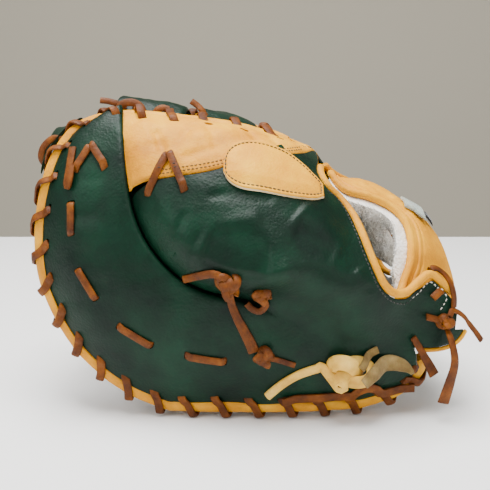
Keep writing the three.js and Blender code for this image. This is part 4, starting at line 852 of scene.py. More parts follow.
def beside_hole(s, angle, trees):
    """What lies beside a spot that is over a hole."""
    for ds, dangle in ((0.022, 0), (-0.022, 0), (0, 3.0), (0, -3.0)):
        under, facing = cover_at(s + ds, angle + dangle, trees, True)
        if under is not None:
            return under, facing
    return None, directions(FINGER, s, angle, 0.0)[2]


def surface_at(s, angle, trees=None):
    """Height of what lies under a spot, or of the back's outside where nothing does."""
    under, _ = cover_at(s, angle, trees)
    return swell(FINGER, s, angle) if under is None else under


DEGREE = 1.6  # millimetres for one degree, where a lace's path is smoothed


def laid(spots, width=LACE_WIDTH, step=1.6, settle=True):
    """Points and normals of a lace laid over spots. A spot is (s, angle, rise over what lies under it),
    or with "over" the rise over the back's outside, or with "height" that over the palm leather."""
    full = []
    for s, angle, height, *kind in spots:
        if not kind:
            height = surface_at(s, angle) + height
        elif kind == ["over"]:
            height = height + swell(FINGER, s, angle)
        full.append((s * HALF, angle * DEGREE, height))
    path = curve_through(full, step)
    points, normals = [], []
    for x, turned, height in path:
        s, angle = x / HALF, turned / DEGREE
        under, _ = cover_at(s, angle)
        if settle and under is not None:
            _, about, _, _ = directions(FINGER, s, angle, 0.0)
            reach = width * 0.35 / max(np.linalg.norm(about), 0.1)
            for beside in (-reach, reach):
                more, _ = cover_at(s, angle + beside)
                if more is not None:
                    under = max(under, min(more, under + width * 0.5))
            height = max(height, under + LACE_THICK / 2 + 0.15)
        points.append((s, angle, height))
        normals.append(directions(FINGER, s, angle, max(height, 0.0))[2])
    points, normals = np.array(points), np.array(normals)
    for _ in range(3):
        soft = points[:, 2].copy()
        soft[1:-1] = (points[:-2, 2] + 2 * points[1:-1, 2] + points[2:, 2]) / 4
        points[:, 2] = np.maximum(soft, points[:, 2] - 0.35)
    return place(FINGER, points[:, 0], points[:, 1], points[:, 2]), unit(normals)


# The whip lace of each edge: out of a hole, over the binding to the inside, and through the next hole
WHIP = [
    # share of the way to the next hole, inset from the edge (in hole insets), height: outside 1, inside -1
    (0.00, 1.0, 0.0), (0.02, 1.0, 0.72), (0.09, 0.84, 1.0), (0.18, 0.55, 1.0), (0.27, 0.25, 1.08),
    (0.36, -0.3, 0.92), (0.43, -0.52, 0.1), (0.5, -0.62, -1.3), (0.57, 0.0, -1.2), (0.7, 0.55, -1.0),
    (0.9, 0.88, -1.0), (0.98, 1.0, -0.72),
]
WHIP_ROWS = 1.5, 18.1  # first and last row of the laced edge that the whip lace takes
BINDING_ROWS = 1.45, 18.4
WHIP_HOLE = -12.0, 32.0  # reach of its hole cutters, from the palm leather


def edge_rows(side, first, last, pitch):
    """Rows of the laced edge, a pitch apart."""
    fine = np.linspace(first, last, 600)
    line = place(side, *edge_line(side, fine), 0)
    far = np.concatenate([[0], np.cumsum(np.linalg.norm(np.diff(line, axis=0), axis=1))])
    count = int(round(far[-1] / pitch))
    return np.interp(np.linspace(0, far[-1], count + 1), far, fine)


def hole_inset(row):
    """The web's lace holes lie further in than the rim's."""
    return HOLE_INSET * (1 + 0.85 * float(smooth((row - 14.3) / 0.9)) - 0.3 * float(smooth((row - 17) / 1)))


def whip(side):
    """The whip lace of one half, and cutters for its holes."""
    rows = edge_rows(side, *WHIP_ROWS, side.pitch)[::-1]
    points, normals = [], []
    run = LACE_THICK / 2
    for k, row in enumerate(rows):
        last = k == len(rows) - 1
        for share, back, height in WHIP[:4] if last else WHIP:
            here = row + (rows[min(k + 1, len(rows) - 1)] - row) * share
            s, angle, on, inwards, out = edge_frame(side, here)
            distance = hole_inset(here) * back if back > 0 else HOLE_INSET * back
            at = moved(side, s, angle, 0, inwards, distance) if back > 0.25 else None
            width = span(side, edge_line(side, here), slot_line(slot_at_edge(here)))
            rim = rim_offset((distance - TRIM) / max(width - TRIM, 1)) if distance > TRIM else EDGE_PAD
            top = max(float(rim), EDGE_PAD + BINDING_LIP if back < 0.5 else 0) + run + 0.5
            low = -PALM_LEATHER - (BINDING_LIP if back < 0.5 else 0) - run - 0.9
            offset = (top + low) / 2 + height * (top - low) / 2
            if at is not None:
                point = place(side, at[0], at[1], offset)
            else:
                point = place(side, s, angle, EDGE_MIDDLE) + inwards * distance
                point = point + out * (offset - EDGE_MIDDLE)
            points.append(point)
            tilt = math.pi / 2 * np.clip(abs(height), 0, 1)
            if back > 0.9:
                facing = inwards * math.cos(tilt) + out * math.sin(tilt) * np.sign(height)
            elif back < 0:
                facing = -inwards * (1.2 - abs(height)) + out * height
            else:
                facing = out * np.sign(height)
            normals.append(unit(facing))
    both = curve_through(np.hstack([points, np.array(normals) * 4]), 1.1)
    holes = []
    for row in rows:
        s, angle, on, inwards, out = edge_frame(side, row)
        at = moved(side, s, angle, 0, inwards, hole_inset(row))
        holes.append(slit(side, at, on, *WHIP_HOLE))
    return ribbon(both[:, :3], both[:, 3:], LACE_WIDTH + 0.7, LACE_THICK, curl=0.16), holes


def slit(side, at, across, low, high):
    """A cutter for one lace hole, straight through along the outward direction."""
    _, _, _, out = directions(side, at[0], at[1], 0.0)
    foot = place(side, at[0], at[1], low)
    beside = unit(np.cross(across, out))
    turn = np.linspace(0, 2 * np.pi, 10, endpoint=False)
    u = np.sign(np.cos(turn)) * np.abs(np.cos(turn)) ** 0.7 * (LACE_WIDTH / 2 + HOLE_GAP)
    v = np.sign(np.sin(turn)) * np.abs(np.sin(turn)) ** 0.7 * (LACE_THICK / 2 + HOLE_GAP)
    ring = foot + across * u[:, None] + beside * v[:, None]
    return tube_shape(np.stack([ring, ring + out * (high - low)]))


# Materials
def material(name, build):
    found = bpy.data.materials.new(name)
    found.use_nodes = True
    tree = found.node_tree
    tree.nodes.clear()
    output = tree.nodes.new("ShaderNodeOutputMaterial")
    shader = tree.nodes.new("ShaderNodeBsdfPrincipled")
    tree.links.new(shader.outputs["BSDF"], output.inputs["Surface"])
    build(tree, shader)
    return found


def linear(colour):
    return tuple(((c / 255 + 0.055) / 1.055) ** 2.4 if c > 10 else c / 255 / 12.92 for c in colour) + (1.0,)


def node(tree, kind, **inputs):
    made = tree.nodes.new(kind)
    for name, value in inputs.items():
        made.inputs[name.replace("_", " ")].default_value = value
    return made


def textured(colours, rough, grain, grain_height, fold, fold_height, sheen=0.0, speck=0.25, blotch=26,
             specular=0.4, worn=None, stretch=(1, 1, 1)):
    """Colours are dark, middle and light. grain is the pores' size and fold the wrinkles', in mm."""

    def build(tree, shader):
        link = tree.links.new
        where = tree.nodes.new("ShaderNodeTexCoord")
        scaled = tree.nodes.new("ShaderNodeMapping")
        scaled.inputs["Scale"].default_value = stretch
        link(where.outputs["Object"], scaled.inputs["Vector"])
        cloud = node(tree, "ShaderNodeTexNoise", Scale=float(blotch), Detail=6.0, Roughness=0.62)
        link(scaled.outputs["Vector"], cloud.inputs["Vector"])
        ramp = tree.nodes.new("ShaderNodeValToRGB")
        ramp.color_ramp.elements[0].position = 0.32
        ramp.color_ramp.elements[0].color = linear(colours[0])
        ramp.color_ramp.elements[1].position = 0.7
        ramp.color_ramp.elements[1].color = linear(colours[2])
        middle = ramp.color_ramp.elements.new(0.5)
        middle.color = linear(colours[1])
        link(cloud.outputs["Fac"], ramp.inputs["Fac"])
        fine = node(tree, "ShaderNodeTexNoise", Scale=700.0, Detail=3.0, Roughness=0.7)
        link(scaled.outputs["Vector"], fine.inputs["Vector"])
        shade = tree.nodes.new("ShaderNodeMix")
        shade.data_type = "RGBA"
        shade.blend_type = "SOFT_LIGHT"
        shade.inputs[0].default_value = speck
        link(ramp.outputs["Color"], shade.inputs[6])
        link(fine.outputs["Color"], shade.inputs[7])
        colour = shade.outputs[2]
        if worn is not None:
            edge = tree.nodes.new("ShaderNodeNewGeometry")
            pick = tree.nodes.new("ShaderNodeMapRange")
            pick.inputs["From Min"].default_value = 0.59
            pick.inputs["From Max"].default_value = 0.72
            link(edge.outputs["Pointiness"], pick.inputs["Value"])
            patch = node(tree, "ShaderNodeTexNoise", Scale=90.0, Detail=4.0)
            link(scaled.outputs["Vector"], patch.inputs["Vector"])
            both = tree.nodes.new("ShaderNodeMath")
            both.operation = "MULTIPLY"
            link(pick.outputs["Result"], both.inputs[0])
            link(patch.outputs["Fac"], both.inputs[1])
            wear = tree.nodes.new("ShaderNodeMix")
            wear.data_type = "RGBA"
            link(both.outputs["Value"], wear.inputs[0])
            link(colour, wear.inputs[6])
            wear.inputs[7].default_value = linear(worn)
            colour = wear.outputs[2]
        link(colour, shader.inputs["Base Color"])
        gloss = tree.nodes.new("ShaderNodeMapRange")
        gloss.inputs["To Min"].default_value = rough - 0.09
        gloss.inputs["To Max"].default_value = rough + 0.12
        link(fine.outputs["Fac"], gloss.inputs["Value"])
        link(gloss.outputs["Result"], shader.inputs["Roughness"])
        pores = node(tree, "ShaderNodeTexVoronoi", Scale=1000.0 / grain)
        pores.feature = "SMOOTH_F1"
        link(scaled.outputs["Vector"], pores.inputs["Vector"])
        small = tree.nodes.new("ShaderNodeBump")
        small.inputs["Strength"].default_value = 0.66
        small.inputs["Distance"].default_value = grain_height / 1000
        link(pores.outputs["Distance"], small.inputs["Height"])
        folds = node(tree, "ShaderNodeTexNoise", Scale=1000.0 / fold, Detail=5.0, Roughness=0.6,
                     Distortion=0.6)
        link(scaled.outputs["Vector"], folds.inputs["Vector"])
        large = tree.nodes.new("ShaderNodeBump")
        large.inputs["Strength"].default_value = 0.7
        large.inputs["Distance"].default_value = fold_height / 1000
        link(folds.outputs["Fac"], large.inputs["Height"])
        link(small.outputs["Normal"], large.inputs["Normal"])
        link(large.outputs["Normal"], shader.inputs["Normal"])
        shader.inputs["Sheen Weight"].default_value = sheen
        shader.inputs["Sheen Roughness"].default_value = 0.5
        shader.inputs["Specular IOR Level"].default_value = specular

    return build


GREEN = material("green_leather", textured(
    [(1, 19, 11), (2, 31, 18), (6, 45, 28)], 0.44, 1.6, 0.3, 9.0, 0.45, specular=0.16))
TAN = material("tan_leather", textured(
    [(184, 118, 6), (212, 144, 12), (230, 168, 24)], 0.55, 1.4, 0.3, 8.0, 0.9, specular=0.18,
    worn=(240, 192, 84)))
PALE = material("pale_leather", textured(
    [(204, 134, 10), (222, 154, 16), (236, 174, 28)], 0.55, 1.4, 0.3, 9.0, 0.7, specular=0.18,
    worn=(244, 202, 98)))
RAW = material("raw_edge", textured(
    [(196, 164, 112), (222, 194, 146), (236, 216, 176)], 0.8, 0.9, 0.3, 4.0, 0.5, sheen=0.2))
LACE = material("lace_leather", textured(
    [(58, 23, 0), (92, 45, 0), (128, 70, 3)], 0.55, 1.1, 0.2, 5.0, 0.5, blotch=70, specular=0.22,
    worn=(196, 140, 62)))
SUEDE = material("suede_tie", textured(
    [(78, 58, 22), (116, 92, 46), (152, 128, 78)], 0.9, 0.7, 0.35, 4.0, 0.8, sheen=0.06, blotch=60))
FLEECE = material("fleece_pile", textured(
    [(226, 218, 204), (244, 240, 230), (250, 249, 244)], 0.95, 1.6, 1.2, 6.0, 1.5, sheen=0.6, blotch=80))
DARK = material("dark_lining", textured(
    [(12, 14, 15), (20, 23, 24), (32, 35, 36)], 0.85, 0.9, 0.3, 6.0, 0.6, sheen=0.3))
TAB = material("tab_cloth", textured(
    [(112, 124, 112), (140, 150, 138), (166, 174, 162)], 0.9, 0.8, 0.4, 4.0, 0.5, sheen=0.4, speck=0.5))
THREAD = material("dark_thread", textured(
    [(20, 18, 16), (34, 30, 26), (52, 46, 40)], 0.7, 0.5, 0.1, 2.0, 0.1, sheen=0.3))
WHITE_THREAD = material("white_thread", textured(
    [(196, 190, 176), (214, 208, 196), (232, 228, 218)], 0.7, 0.5, 0.1, 2.0, 0.1, sheen=0.3))

# Stitched laces of the finger half: the running lace along the rim, and laces that cross as a V
STITCH_HOLE, STRAP_HOLE = (1.0, 70.0), (0.0, 70.0)  # reach of their hole cutters, from the palm leather
RIM_STITCHES = [
    (1, (-0.788, 42.6), (-0.787, 29)), (2, (-0.757, 11.9), (-0.678, -1)),
    (3, (-0.578, -11.9), (-0.433, -17.5)), (4, (-0.279, -18.8), (-0.107, -18.4)),
]
CROSSED = [
    ("finger_rim_crossed_lace", (-0.769, 54.4), (-0.705, 61.6), (-0.637, 54.8)),
    ("finger_seam_crossed_lace", (-0.438, 45.2), (-0.352, 56.6), (-0.278, 45.2)),
]


def stitch_slits(a, b):
    start = place(FINGER, *a, swell(FINGER, *a))
    end = place(FINGER, *b, swell(FINGER, *b))
    way = unit(end - start)
    found = []
    for spot in (a, b):
        _, _, _, out = directions(FINGER, spot[0], spot[1], 0.0)
        across = unit(np.cross(out, way))
        found.append(slit(FINGER, spot, across, *STITCH_HOLE))
    return found


shapes, holes = {}, {}
for side in (FINGER, THUMB):
    shapes[side], holes[side] = whip(side)
stitch_holes = []
for _, a, b in RIM_STITCHES:
    stitch_holes += stitch_slits(a, b)
for _, left, top, right in CROSSED:
    stitch_holes += [*stitch_slits(left, top), stitch_slits(right, top)[0]]

build_palm(holes[FINGER] + holes[THUMB], GREEN, DARK)
for side in (FINGER, THUMB):
    more = stitch_holes if side is FINGER else []
    add_cover(build_shell(side, holes[side] + more, GREEN))
    add_cover(build_panel(side, holes[side] + more, TAN))


# Bindings: leather folded over the edge, with small gathers
BINDING_SECTION = np.array([
    (1.75, 0.72), (1.72, 0.96), (1.3, 1.08), (0.5, 1.06), (-0.4, 0.86), (-0.78, 0.56), (-0.98, 0.2),
    (-0.98, -0.2), (-0.78, -0.56), (-0.4, -0.86), (0.5, -1.0), (1.3, -1.02), (1.72, -0.96), (1.75, -0.72),
])  # in half widths and half depths


def build_binding(side):
    s, angle, _, inwards, out = edge_frame(side, edge_rows(side, *BINDING_ROWS, 2.0))
    middle = place(side, s, angle, EDGE_MIDDLE)
    w, d = BINDING_WIDTH / 2, BINDING_DEPTH / 2
    swing = 1 + 0.05 * waves(middle, 9, 31) + 0.04 * waves(middle, 25, 32)
    inset_by, rise = BINDING_SECTION[:, 0] * w, BINDING_SECTION[:, 1][None, :] * d
    rings = (middle[:, None] + inwards[:, None] * inset_by[None, :, None]
             + out[:, None] * (rise * swing[:, None])[..., None])
    obj = mesh_object(f"{side.name}_edge_binding", tube_shape(rings))
    return shaded(obj, "tan_leather", [TAN], f"{side.name}_binding")


ROLL_ROWS = 0.35, 9.1  # the stretch of the upper edge that is rolled


def build_roll(side):
    t = np.linspace(*ROLL_ROWS, 200)
    obj = mesh_object(f"{side.name}_rolled_edge", roll(top_point(side, t, BACK_LEATHER / 2), ROLL, 16))
    return shaded(obj, "tan_leather", [TAN], f"{side.name}_opening_roll")


def build_piping(side):
    s, angle, outer, _, first = shell_grid(side, np.array([0.0, 0.15]), 6, 60)
    face = place(side, s, angle, outer - BACK_LEATHER / 2)[:, first:]
    far = np.linalg.norm(np.diff(face[0], axis=0), axis=1).cumsum()
    start = int(np.searchsorted(far, far[-1] * 0.1))
    line, behind = face[0, start:], face[1, start:]
    on = unit(np.gradient(line, axis=0))
    away = line - behind
    away = unit(away - on * dot(away, on)[:, None])
    line = curve_through((line + away * (PIPING / 2 + 0.4))[::3], 1.3)
    obj = mesh_object(f"{side.name}_piped_heel", roll(line, PIPING, 12, 0.07, 41))
    return shaded(obj, "tan_leather", [TAN], f"{side.name}_heel_piping")


# The wrist strap, its rolled edge and the fleece under it
def strap_spot(r, w):
    """A spot of the strap: r along it, w from its rolled edge to the heel side."""
    left = STRAP.at("left", r), STRAP.at("left_angle", r)
    right = STRAP.at("right", r), STRAP.at("right_angle", r)
    return left[0] + (right[0] - left[0]) * w, left[1] + (right[1] - left[1]) * w


def strap_offset(r, s, angle):
    return swell(FINGER, s, angle) - STRAP_LEATHER * STRAP.at("depth", r)


def strap_edge(r):
    s, angle = strap_spot(r, 0.0)
    return place(FINGER, s, angle, strap_offset(r, s, angle) - STRAP_LEATHER / 2)


def strap_share(r, distance):
    s, angle = strap_spot(r, 0.0)
    way = unit(strap_edge(r + 0.04) - strap_edge(r - 0.04))
    return short_of(FINGER, strap_spot(r, 1.0), (s, angle), strap_offset(r, s, angle), way, distance)


def build_strap():
    r = np.linspace(0, LAST_STRAP_ROW, 190)
    start = strap_share(r, ROLL / 2 + 0.4)
    left, right = strap_spot(r, 0.0), strap_spot(r, 1.0)
    long = span(FINGER, left, right)
    across = spread((1 - start) * long, 46)
    w = start[:, None] + across / long[:, None]
    s, angle = strap_spot(r[:, None], w)
    top = strap_offset(r[:, None], s, angle)
    face = place(FINGER, s, angle, top)
    swing = waves(face, 40, 51) * 0.5 + waves(face, 15, 52) * 0.2
    for middle, width, height in ((4.2, 0.9, -0.9), (6.2, 1.6, 0.6), (8.6, 0.9, -0.8)):
        swing = swing + height * np.exp(-(((across - middle) / width) ** 2))
    swing = swing + relief(FINGER, face, STRAP_CREASES)
    far = ((1 - start) * long)[:, None] - across
    ends = smooth(np.minimum(r, LAST_STRAP_ROW - r) / 0.4)[:, None] * smooth(far / 4) * smooth(across / 1.5)
    top = top + swing * ends - drop(far, 1.4) - drop(across, 1.0)
    under = strap_offset(r[:, None], s, angle) - STRAP_LEATHER + drop(far, 1.2)
    obj = mesh_object("strap_leather", wall(place(FINGER, s, angle, top), place(FINGER, s, angle, under)))
    edge_faces(obj, 2 * (s.shape[0] - 1) * (s.shape[1] - 1))
    a, b = (place(FINGER, *spot, swell(FINGER, *spot)) for spot in ((0.821, 48.5), (0.822, 44.5)))
    cut(obj, [slit(FINGER, (0.8215, 46.5), unit(b - a), *STRAP_HOLE)])
    shaded(obj, "tan_leather", [TAN, RAW], "wrist_strap")
    line = strap_edge(np.linspace(0, LAST_STRAP_ROW, 220))
    edge = mesh_object("strap_rolled_edge", roll(line, ROLL, 16, 0.05, 53))
    shaded(edge, "tan_leather", [TAN], "strap_edge_roll")
    return obj, edge


FLEECE_THICK, TUFTS = 12.0, 9000


def build_fleece():
    r = np.linspace(0, LAST_STRAP_ROW, 230)
    ends = np.abs(2 * r / LAST_STRAP_ROW - 1) ** 3
    lip = 8 * ends + 13 * smooth((r - 0.6) / 1.6) * smooth((10.5 - r) / 2.5)
    start = -np.minimum(strap_share(r, 1.0), 0.03) * lip
    w = start[:, None] + (0.75 - start)[:, None] * np.linspace(0, 1, 110)[None]
    s, angle = strap_spot(r[:, None], w)
    base = strap_offset(r[:, None], s, angle)
    top = ROLL / 2 + STRAP_LEATHER / 2 + 0.6
    share = np.interp(np.linspace(0, 1, 110), [0, 0.06, 0.22, 0.6, 0.93, 1], [0.55, 0.9, 1, 1, 0.6, 0.3])
    low = base - top - FLEECE_THICK * share[None]
    face = place(FINGER, s, angle, low)
    lumps = waves(face, 11, 61) * 0.5 + waves(face, 5.5, 62) * 0.5 + waves(face, 3, 63) * 0.3
    low = low + lumps
    high = base - top + 0 * w
    shape = wall(place(FINGER, s, angle, high), place(FINGER, s, angle, low))
    draw = np.random.default_rng(5)
    count = TUFTS
    i, j = draw.integers(1, 228, count), draw.integers(0, 109, count)
    front = draw.random(count) < 0.3
    j = np.where(front, draw.integers(0, 6, count), j)
    depth = np.where(front, draw.random(count), 1.0)
    top_face, low_face = place(FINGER, s, angle, high), place(FINGER, s, angle, low)
    at = top_face[i, j] * (1 - depth[:, None]) + low_face[i, j] * depth[:, None]
    _, _, _, out = directions(FINGER, s[i, j], angle[i, j], 0.0)
    left = unit(low_face[i, 0] - low_face[i, 8])
    way = unit(-out * np.where(front, 0.25, 1.0)[:, None] + left * np.where(front, 1.0, 0.15)[:, None]
               + draw.normal(scale=0.45, size=(count, 3)))
    side_way = unit(np.cross(way, draw.normal(size=(count, 3))))
    other = np.cross(way, side_way)
    long = draw.uniform(1.6, 3.2, count)[:, None]
    wide = draw.uniform(0.35, 0.6, count)[:, None]
    foot = at - way * 0.8
    bent = foot + way * long + draw.normal(scale=0.5, size=(count, 3))
    corners = [foot + side_way * wide, foot - side_way * wide * 0.5 + other * wide * 0.87,
               foot - side_way * wide * 0.5 - other * wide * 0.87, bent]
    tuft_points = np.stack(corners, 1).reshape(-1, 3)
    first = np.arange(count)[:, None] * 4
    tuft_faces = np.concatenate([first + np.array(q) for q in ((0, 1, 3), (1, 2, 3), (2, 0, 3), (0, 2, 1))])
    obj = mesh_object("fleece_lining", joined([shape, (tuft_points, tuft_faces)]), 70)
    return shaded(obj, "fleece", [FLEECE], "wrist_fleece", pad=0.4)


# The hook and loop tab and its pull: s, lower and upper angle, lift off the strap
TAB_ROWS = Table("s low high rise", [(0.73, 74, 85, 0.4), (0.78, 72.5, 84, 1.6), (0.83, 71.5, 83, 3.4)])
PULL_ROWS = Table("s low high rise", [(0.835, 75, 79, 4), (0.87, 74.5, 78.5, 3.4)])


def build_tab(name, table, count, look, slot, node_name, trees, lip):
    """A small cloth tab with a raised border, laid over the strap."""
    rows_here = np.linspace(0, count - 1, 26)
    cols = np.linspace(0, 1, 22)
    outer, inner = [], []
    for q in rows_here:
        s = table.at("s", q)
        line_out, line_in = [], []
        for c in cols:
            angle = table.at("low", q) + (table.at("high", q) - table.at("low", q)) * c
            base = surface_at(s, angle, trees) + 0.5 + table.at("rise", q)
            border = min(c, 1 - c) * 16
            end = min(q, count - 1 - q) * 12
            round_off = drop(min(border, end), 0.8)
            raised = lip * math.exp(-((min(border, end) - 1.6) / 0.8) ** 2)
            line_out.append(place(FINGER, s, angle, base + 2.0 - round_off + raised))
            line_in.append(place(FINGER, s, angle, base))
        outer.append(line_out)
        inner.append(line_in)
    obj = mesh_object(name, wall(np.array(outer), np.array(inner)))
    return shaded(obj, slot, look, node_name)


# The pad over the index finger
INDEX_PAD = Table("s low high", [
    (-0.112, 51, 54), (-0.085, 48, 59.3), (-0.03, 46.2, 62.6), (0.055, 46.2, 64.3), (0.157, 46.8, 65),
    (0.24, 48.3, 62.8), (0.29, 50, 60), (0.325, 52.4, 57.8),
])


def build_index_pad():
    q = np.linspace(0, 7, 110)
    s, low, high = (INDEX_PAD.at(name, q) for name in ("s", "low", "high"))
    s = s[:, None]
    long = span(FINGER, (s[:, 0], low), (s[:, 0], high))
    across = spread(long, 40)
    angle = low[:, None] + (high - low)[:, None] * across / long[:, None]
    s = np.broadcast_to(s, angle.shape)
    border = np.minimum(across, long[:, None] - across)
    ends = np.minimum(q, 7 - q)[:, None] * 5.5
    near = np.minimum(border, ends + 0.01)
    puff = 1.5 * smooth((near - 2.5) / 7) - 0.5 * np.exp(-((near - 2.4) / 0.7) ** 2)
    base = swell(FINGER, s, angle)
    face = place(FINGER, s, angle, base)
    swing = waves(face, 30, 71) * 0.25 + waves(face, 9, 72) * 0.08
    outer = base + FIT_GAP / 2 + 2.0 + puff + swing - drop(near, 0.9)
    shape = wall(place(FINGER, s, angle, outer), place(FINGER, s, angle, base + 0.4))
    obj = mesh_object("index_finger_pad", shape)
    edge_faces(obj, 2 * (s.shape[0] - 1) * (s.shape[1] - 1))
    shaded(obj, "tan_leather", [PALE, RAW], "index_pad", pad=0.3)
    inner_low = low + (high - low) * 2.4 / long
    inner_high = high - (high - low) * 2.4 / long
    keep = slice(6, -6)
    ring_s = np.concatenate([s[keep, 0], s[keep, 0][::-1], s[keep, 0][:1]])
    ring_a = np.concatenate([inner_low[keep], inner_high[keep][::-1], inner_low[keep][:1]])
    ring = place(FINGER, ring_s, ring_a, swell(FINGER, ring_s, ring_a) + FIT_GAP / 2 + 2.0 - 0.25)
    up = directions(FINGER, ring_s, ring_a, 20.0)[2]
    return stitches(ring, up, 1.9, 2.9, 0.7)


# The web: three bars over a post
WEB_BARS = [  # name, first and last row of the edge, arch in web rises
    ("web_tip_bar", 12.8, 14.2, -1.7),
    ("web_upper_bar", 14.75, 16.2, 1),
    ("web_lower_bar", 16.45, 17.7, 0.2),
]
WEB_REACH = BINDING_WIDTH / 2 + LACE_THICK + 1.1 + 0.4


def build_web():
    for name, first, last, rise in WEB_BARS:
        q = np.linspace(first, last, 34)
        w = np.linspace(0, 1, 44)[None, :, None]
        near = place(FINGER, *inset(FINGER, q, -WEB_REACH), EDGE_MIDDLE)
        far = place(THUMB, *inset(THUMB, q, -WEB_REACH), EDGE_MIDDLE)
        ridge = place(FINGER, near[:, 0] / HALF, RIDGE, EDGE_MIDDLE)
        arch = ridge[:, 2] - (near[:, 2] + far[:, 2]) / 2 + WEB_RISE * rise
        middle = near[:, None] * (1 - w) + far[:, None] * w
        middle[..., 2] += (4 * w * (1 - w))[..., 0] * arch[:, None]
        middle[..., 2] -= (5.0 * ((q - first) / (last - first)) ** 2)[:, None] * (name != "web_tip_bar")
        border = np.minimum(np.arange(34), np.arange(34)[::-1])[:, None] * 1.1
        dip = drop(border, 2.4)
        up = np.zeros_like(middle)
        up[..., 2] = WEB_LEATHER / 2 - dip
        swing = waves(middle, 26, 81) * 0.8 + waves(middle, 11, 82) * 0.3
        top, low = middle + up, middle - up
        top[..., 2] += swing * smooth(border / 2)
        obj = mesh_object(f"{name}_leather", wall(top, low))
        shaded(obj, "green_leather", [GREEN], name)
    q = np.linspace(0, 6, 90)
    w = np.linspace(-1, 1, 18)
    s, half, rise = (WEB_POST.at(name, q) for name in ("s", "half", "rise"))
    point = place(FINGER, s, RIDGE, EDGE_MIDDLE - WEB_LEATHER)
    point[:, 2] += WEB_RISE * rise - FIT_GAP
    grid = np.repeat(point[:, None], len(w), 1)
    grid[..., 1] += half[:, None] * w[None]
    dip = drop((1 - np.abs(w))[None] * half[:, None], 2.2)
    top, low = grid.copy(), grid.copy()
    top[..., 2] += WEB_LEATHER / 2 - dip
    low[..., 2] -= WEB_LEATHER / 2 - dip
    obj = mesh_object("web_post_leather", wall(top, low))
    shaded(obj, "green_leather", [GREEN], "web_post")


# Laces
def stitch_path(a, b, lift):
    """Out of one hole, over the leather and down the other."""
    a, b = np.array(a, float), np.array(b, float)
    inner = [a + (b - a) * q for q in (0.1, 0.3, 0.5, 0.7, 0.9)]
    points, normals = laid([(*at, LACE_THICK / 2 + 0.2 + lift) for at in inner], settle=False)
    ends = []
    for spot, near, point in ((a, inner[0], points[0]), (b, inner[-1], points[-1])):
        height = np.linalg.norm(point - place(FINGER, *near, 0.0)) - LACE_THICK / 2 - 0.2 - lift
        onward = unit(point - place(FINGER, *spot, height))
        deep, mouth = place(FINGER, *spot, height - 6.5), place(FINGER, *spot, height - 0.9)
        ends.append([(deep, -onward), (mouth, -onward)])
    points = np.vstack([[p for p, _ in ends[0]], points, [p for p, _ in ends[1]][::-1]])
    normals = np.vstack([[n for _, n in ends[0]], normals, [n for _, n in ends[1]][::-1]])
    both = curve_through(np.hstack([points, normals * 3]), 0.9)
    return ribbon(both[:, :3], both[:, 3:], curl=0.15)


def coil(centre, axis, beside, up, across, high, pitch, turns, start, width):
    """Lace wound round an axis: across and high are the coil's radii."""
    phi = np.linspace(start, start + 2 * np.pi * turns, int(26 * turns))[:, None]
    along = (phi - phi.mean()) / (2 * np.pi) * pitch
    spin = beside * np.cos(phi) * across + up * np.sin(phi) * high
    points = centre + axis * along + spin
    normals = unit(beside * np.cos(phi) / across + up * np.sin(phi) / high)
    return ribbon(points, normals, width, LACE_THICK, curl=0.15)


def knot_place(s, angle, lift):
    under = surface_at(s, angle)
    along, _, normal, _ = directions(FINGER, s, angle, under)
    first = unit(along)
    return place(FINGER, s, angle, under + lift), first, np.cross(normal, first), normal


def trefoil(trim, count, sizes):
    """The path of an overhand knot, open by trim at both ends."""
    t = np.linspace(3 * np.pi - trim, np.pi + trim, count)
    x, y, z = np.sin(t) + 2 * np.sin(2 * t), np.cos(t) - 2 * np.cos(2 * t), np.sin(3 * t)
    return np.stack([x * sizes[0], y * sizes[1], z * sizes[2]], -1)


def wound_knot(spot, size, lean=0.5, width=LACE_WIDTH):
    """An overhand knot pulled tight: three lobes that pass over and under each other, and a turn inside."""
    long, wide, high = size
    centre, first, second, up = knot_place(*spot, high / 2 - 0.4)
    axis = unit(first * math.cos(lean) + second * math.sin(lean))
    beside = np.cross(up, axis)
    loop = trefoil(0.35, 110, (long / 6.6, wide / 6.6, high * 0.27))
    points = centre + axis * loop[:, :1] + beside * loop[:, 1:2] + up * loop[:, 2:]
    facing = unit(axis * loop[:, :1] * 0.5 + beside * loop[:, 1:2] * 0.5 + up * (loop[:, 2:] + high * 0.45))
    inner = coil(centre, axis, beside, up, wide * 0.2, high * 0.3, width * 0.8, 1.6, 0.5, width)
    return [ribbon(points, facing, width, LACE_THICK, curl=0.3), inner]


def lace_run(spots, width=LACE_WIDTH, thick=LACE_THICK, taper=None, settle=True, curl=0.12):
    points, normals = laid(spots, width, settle=settle)
    if taper is not None:
        taper = np.interp(np.linspace(0, 1, len(points)), np.linspace(0, 1, len(taper)), taper)
    return ribbon(points, normals, width, thick, taper, curl)


def put_lace(name, parts, *nodes):
    return put(name, parts, LACE, "lace_leather", *nodes)


def put(name, parts, look, slot, *nodes):
    """One piece of the parts, with the nodes that it stands for."""
    obj = mesh_object(name, joined(parts))
    shaded(obj, slot, [look], *nodes)
    add_cover(obj)
    return obj


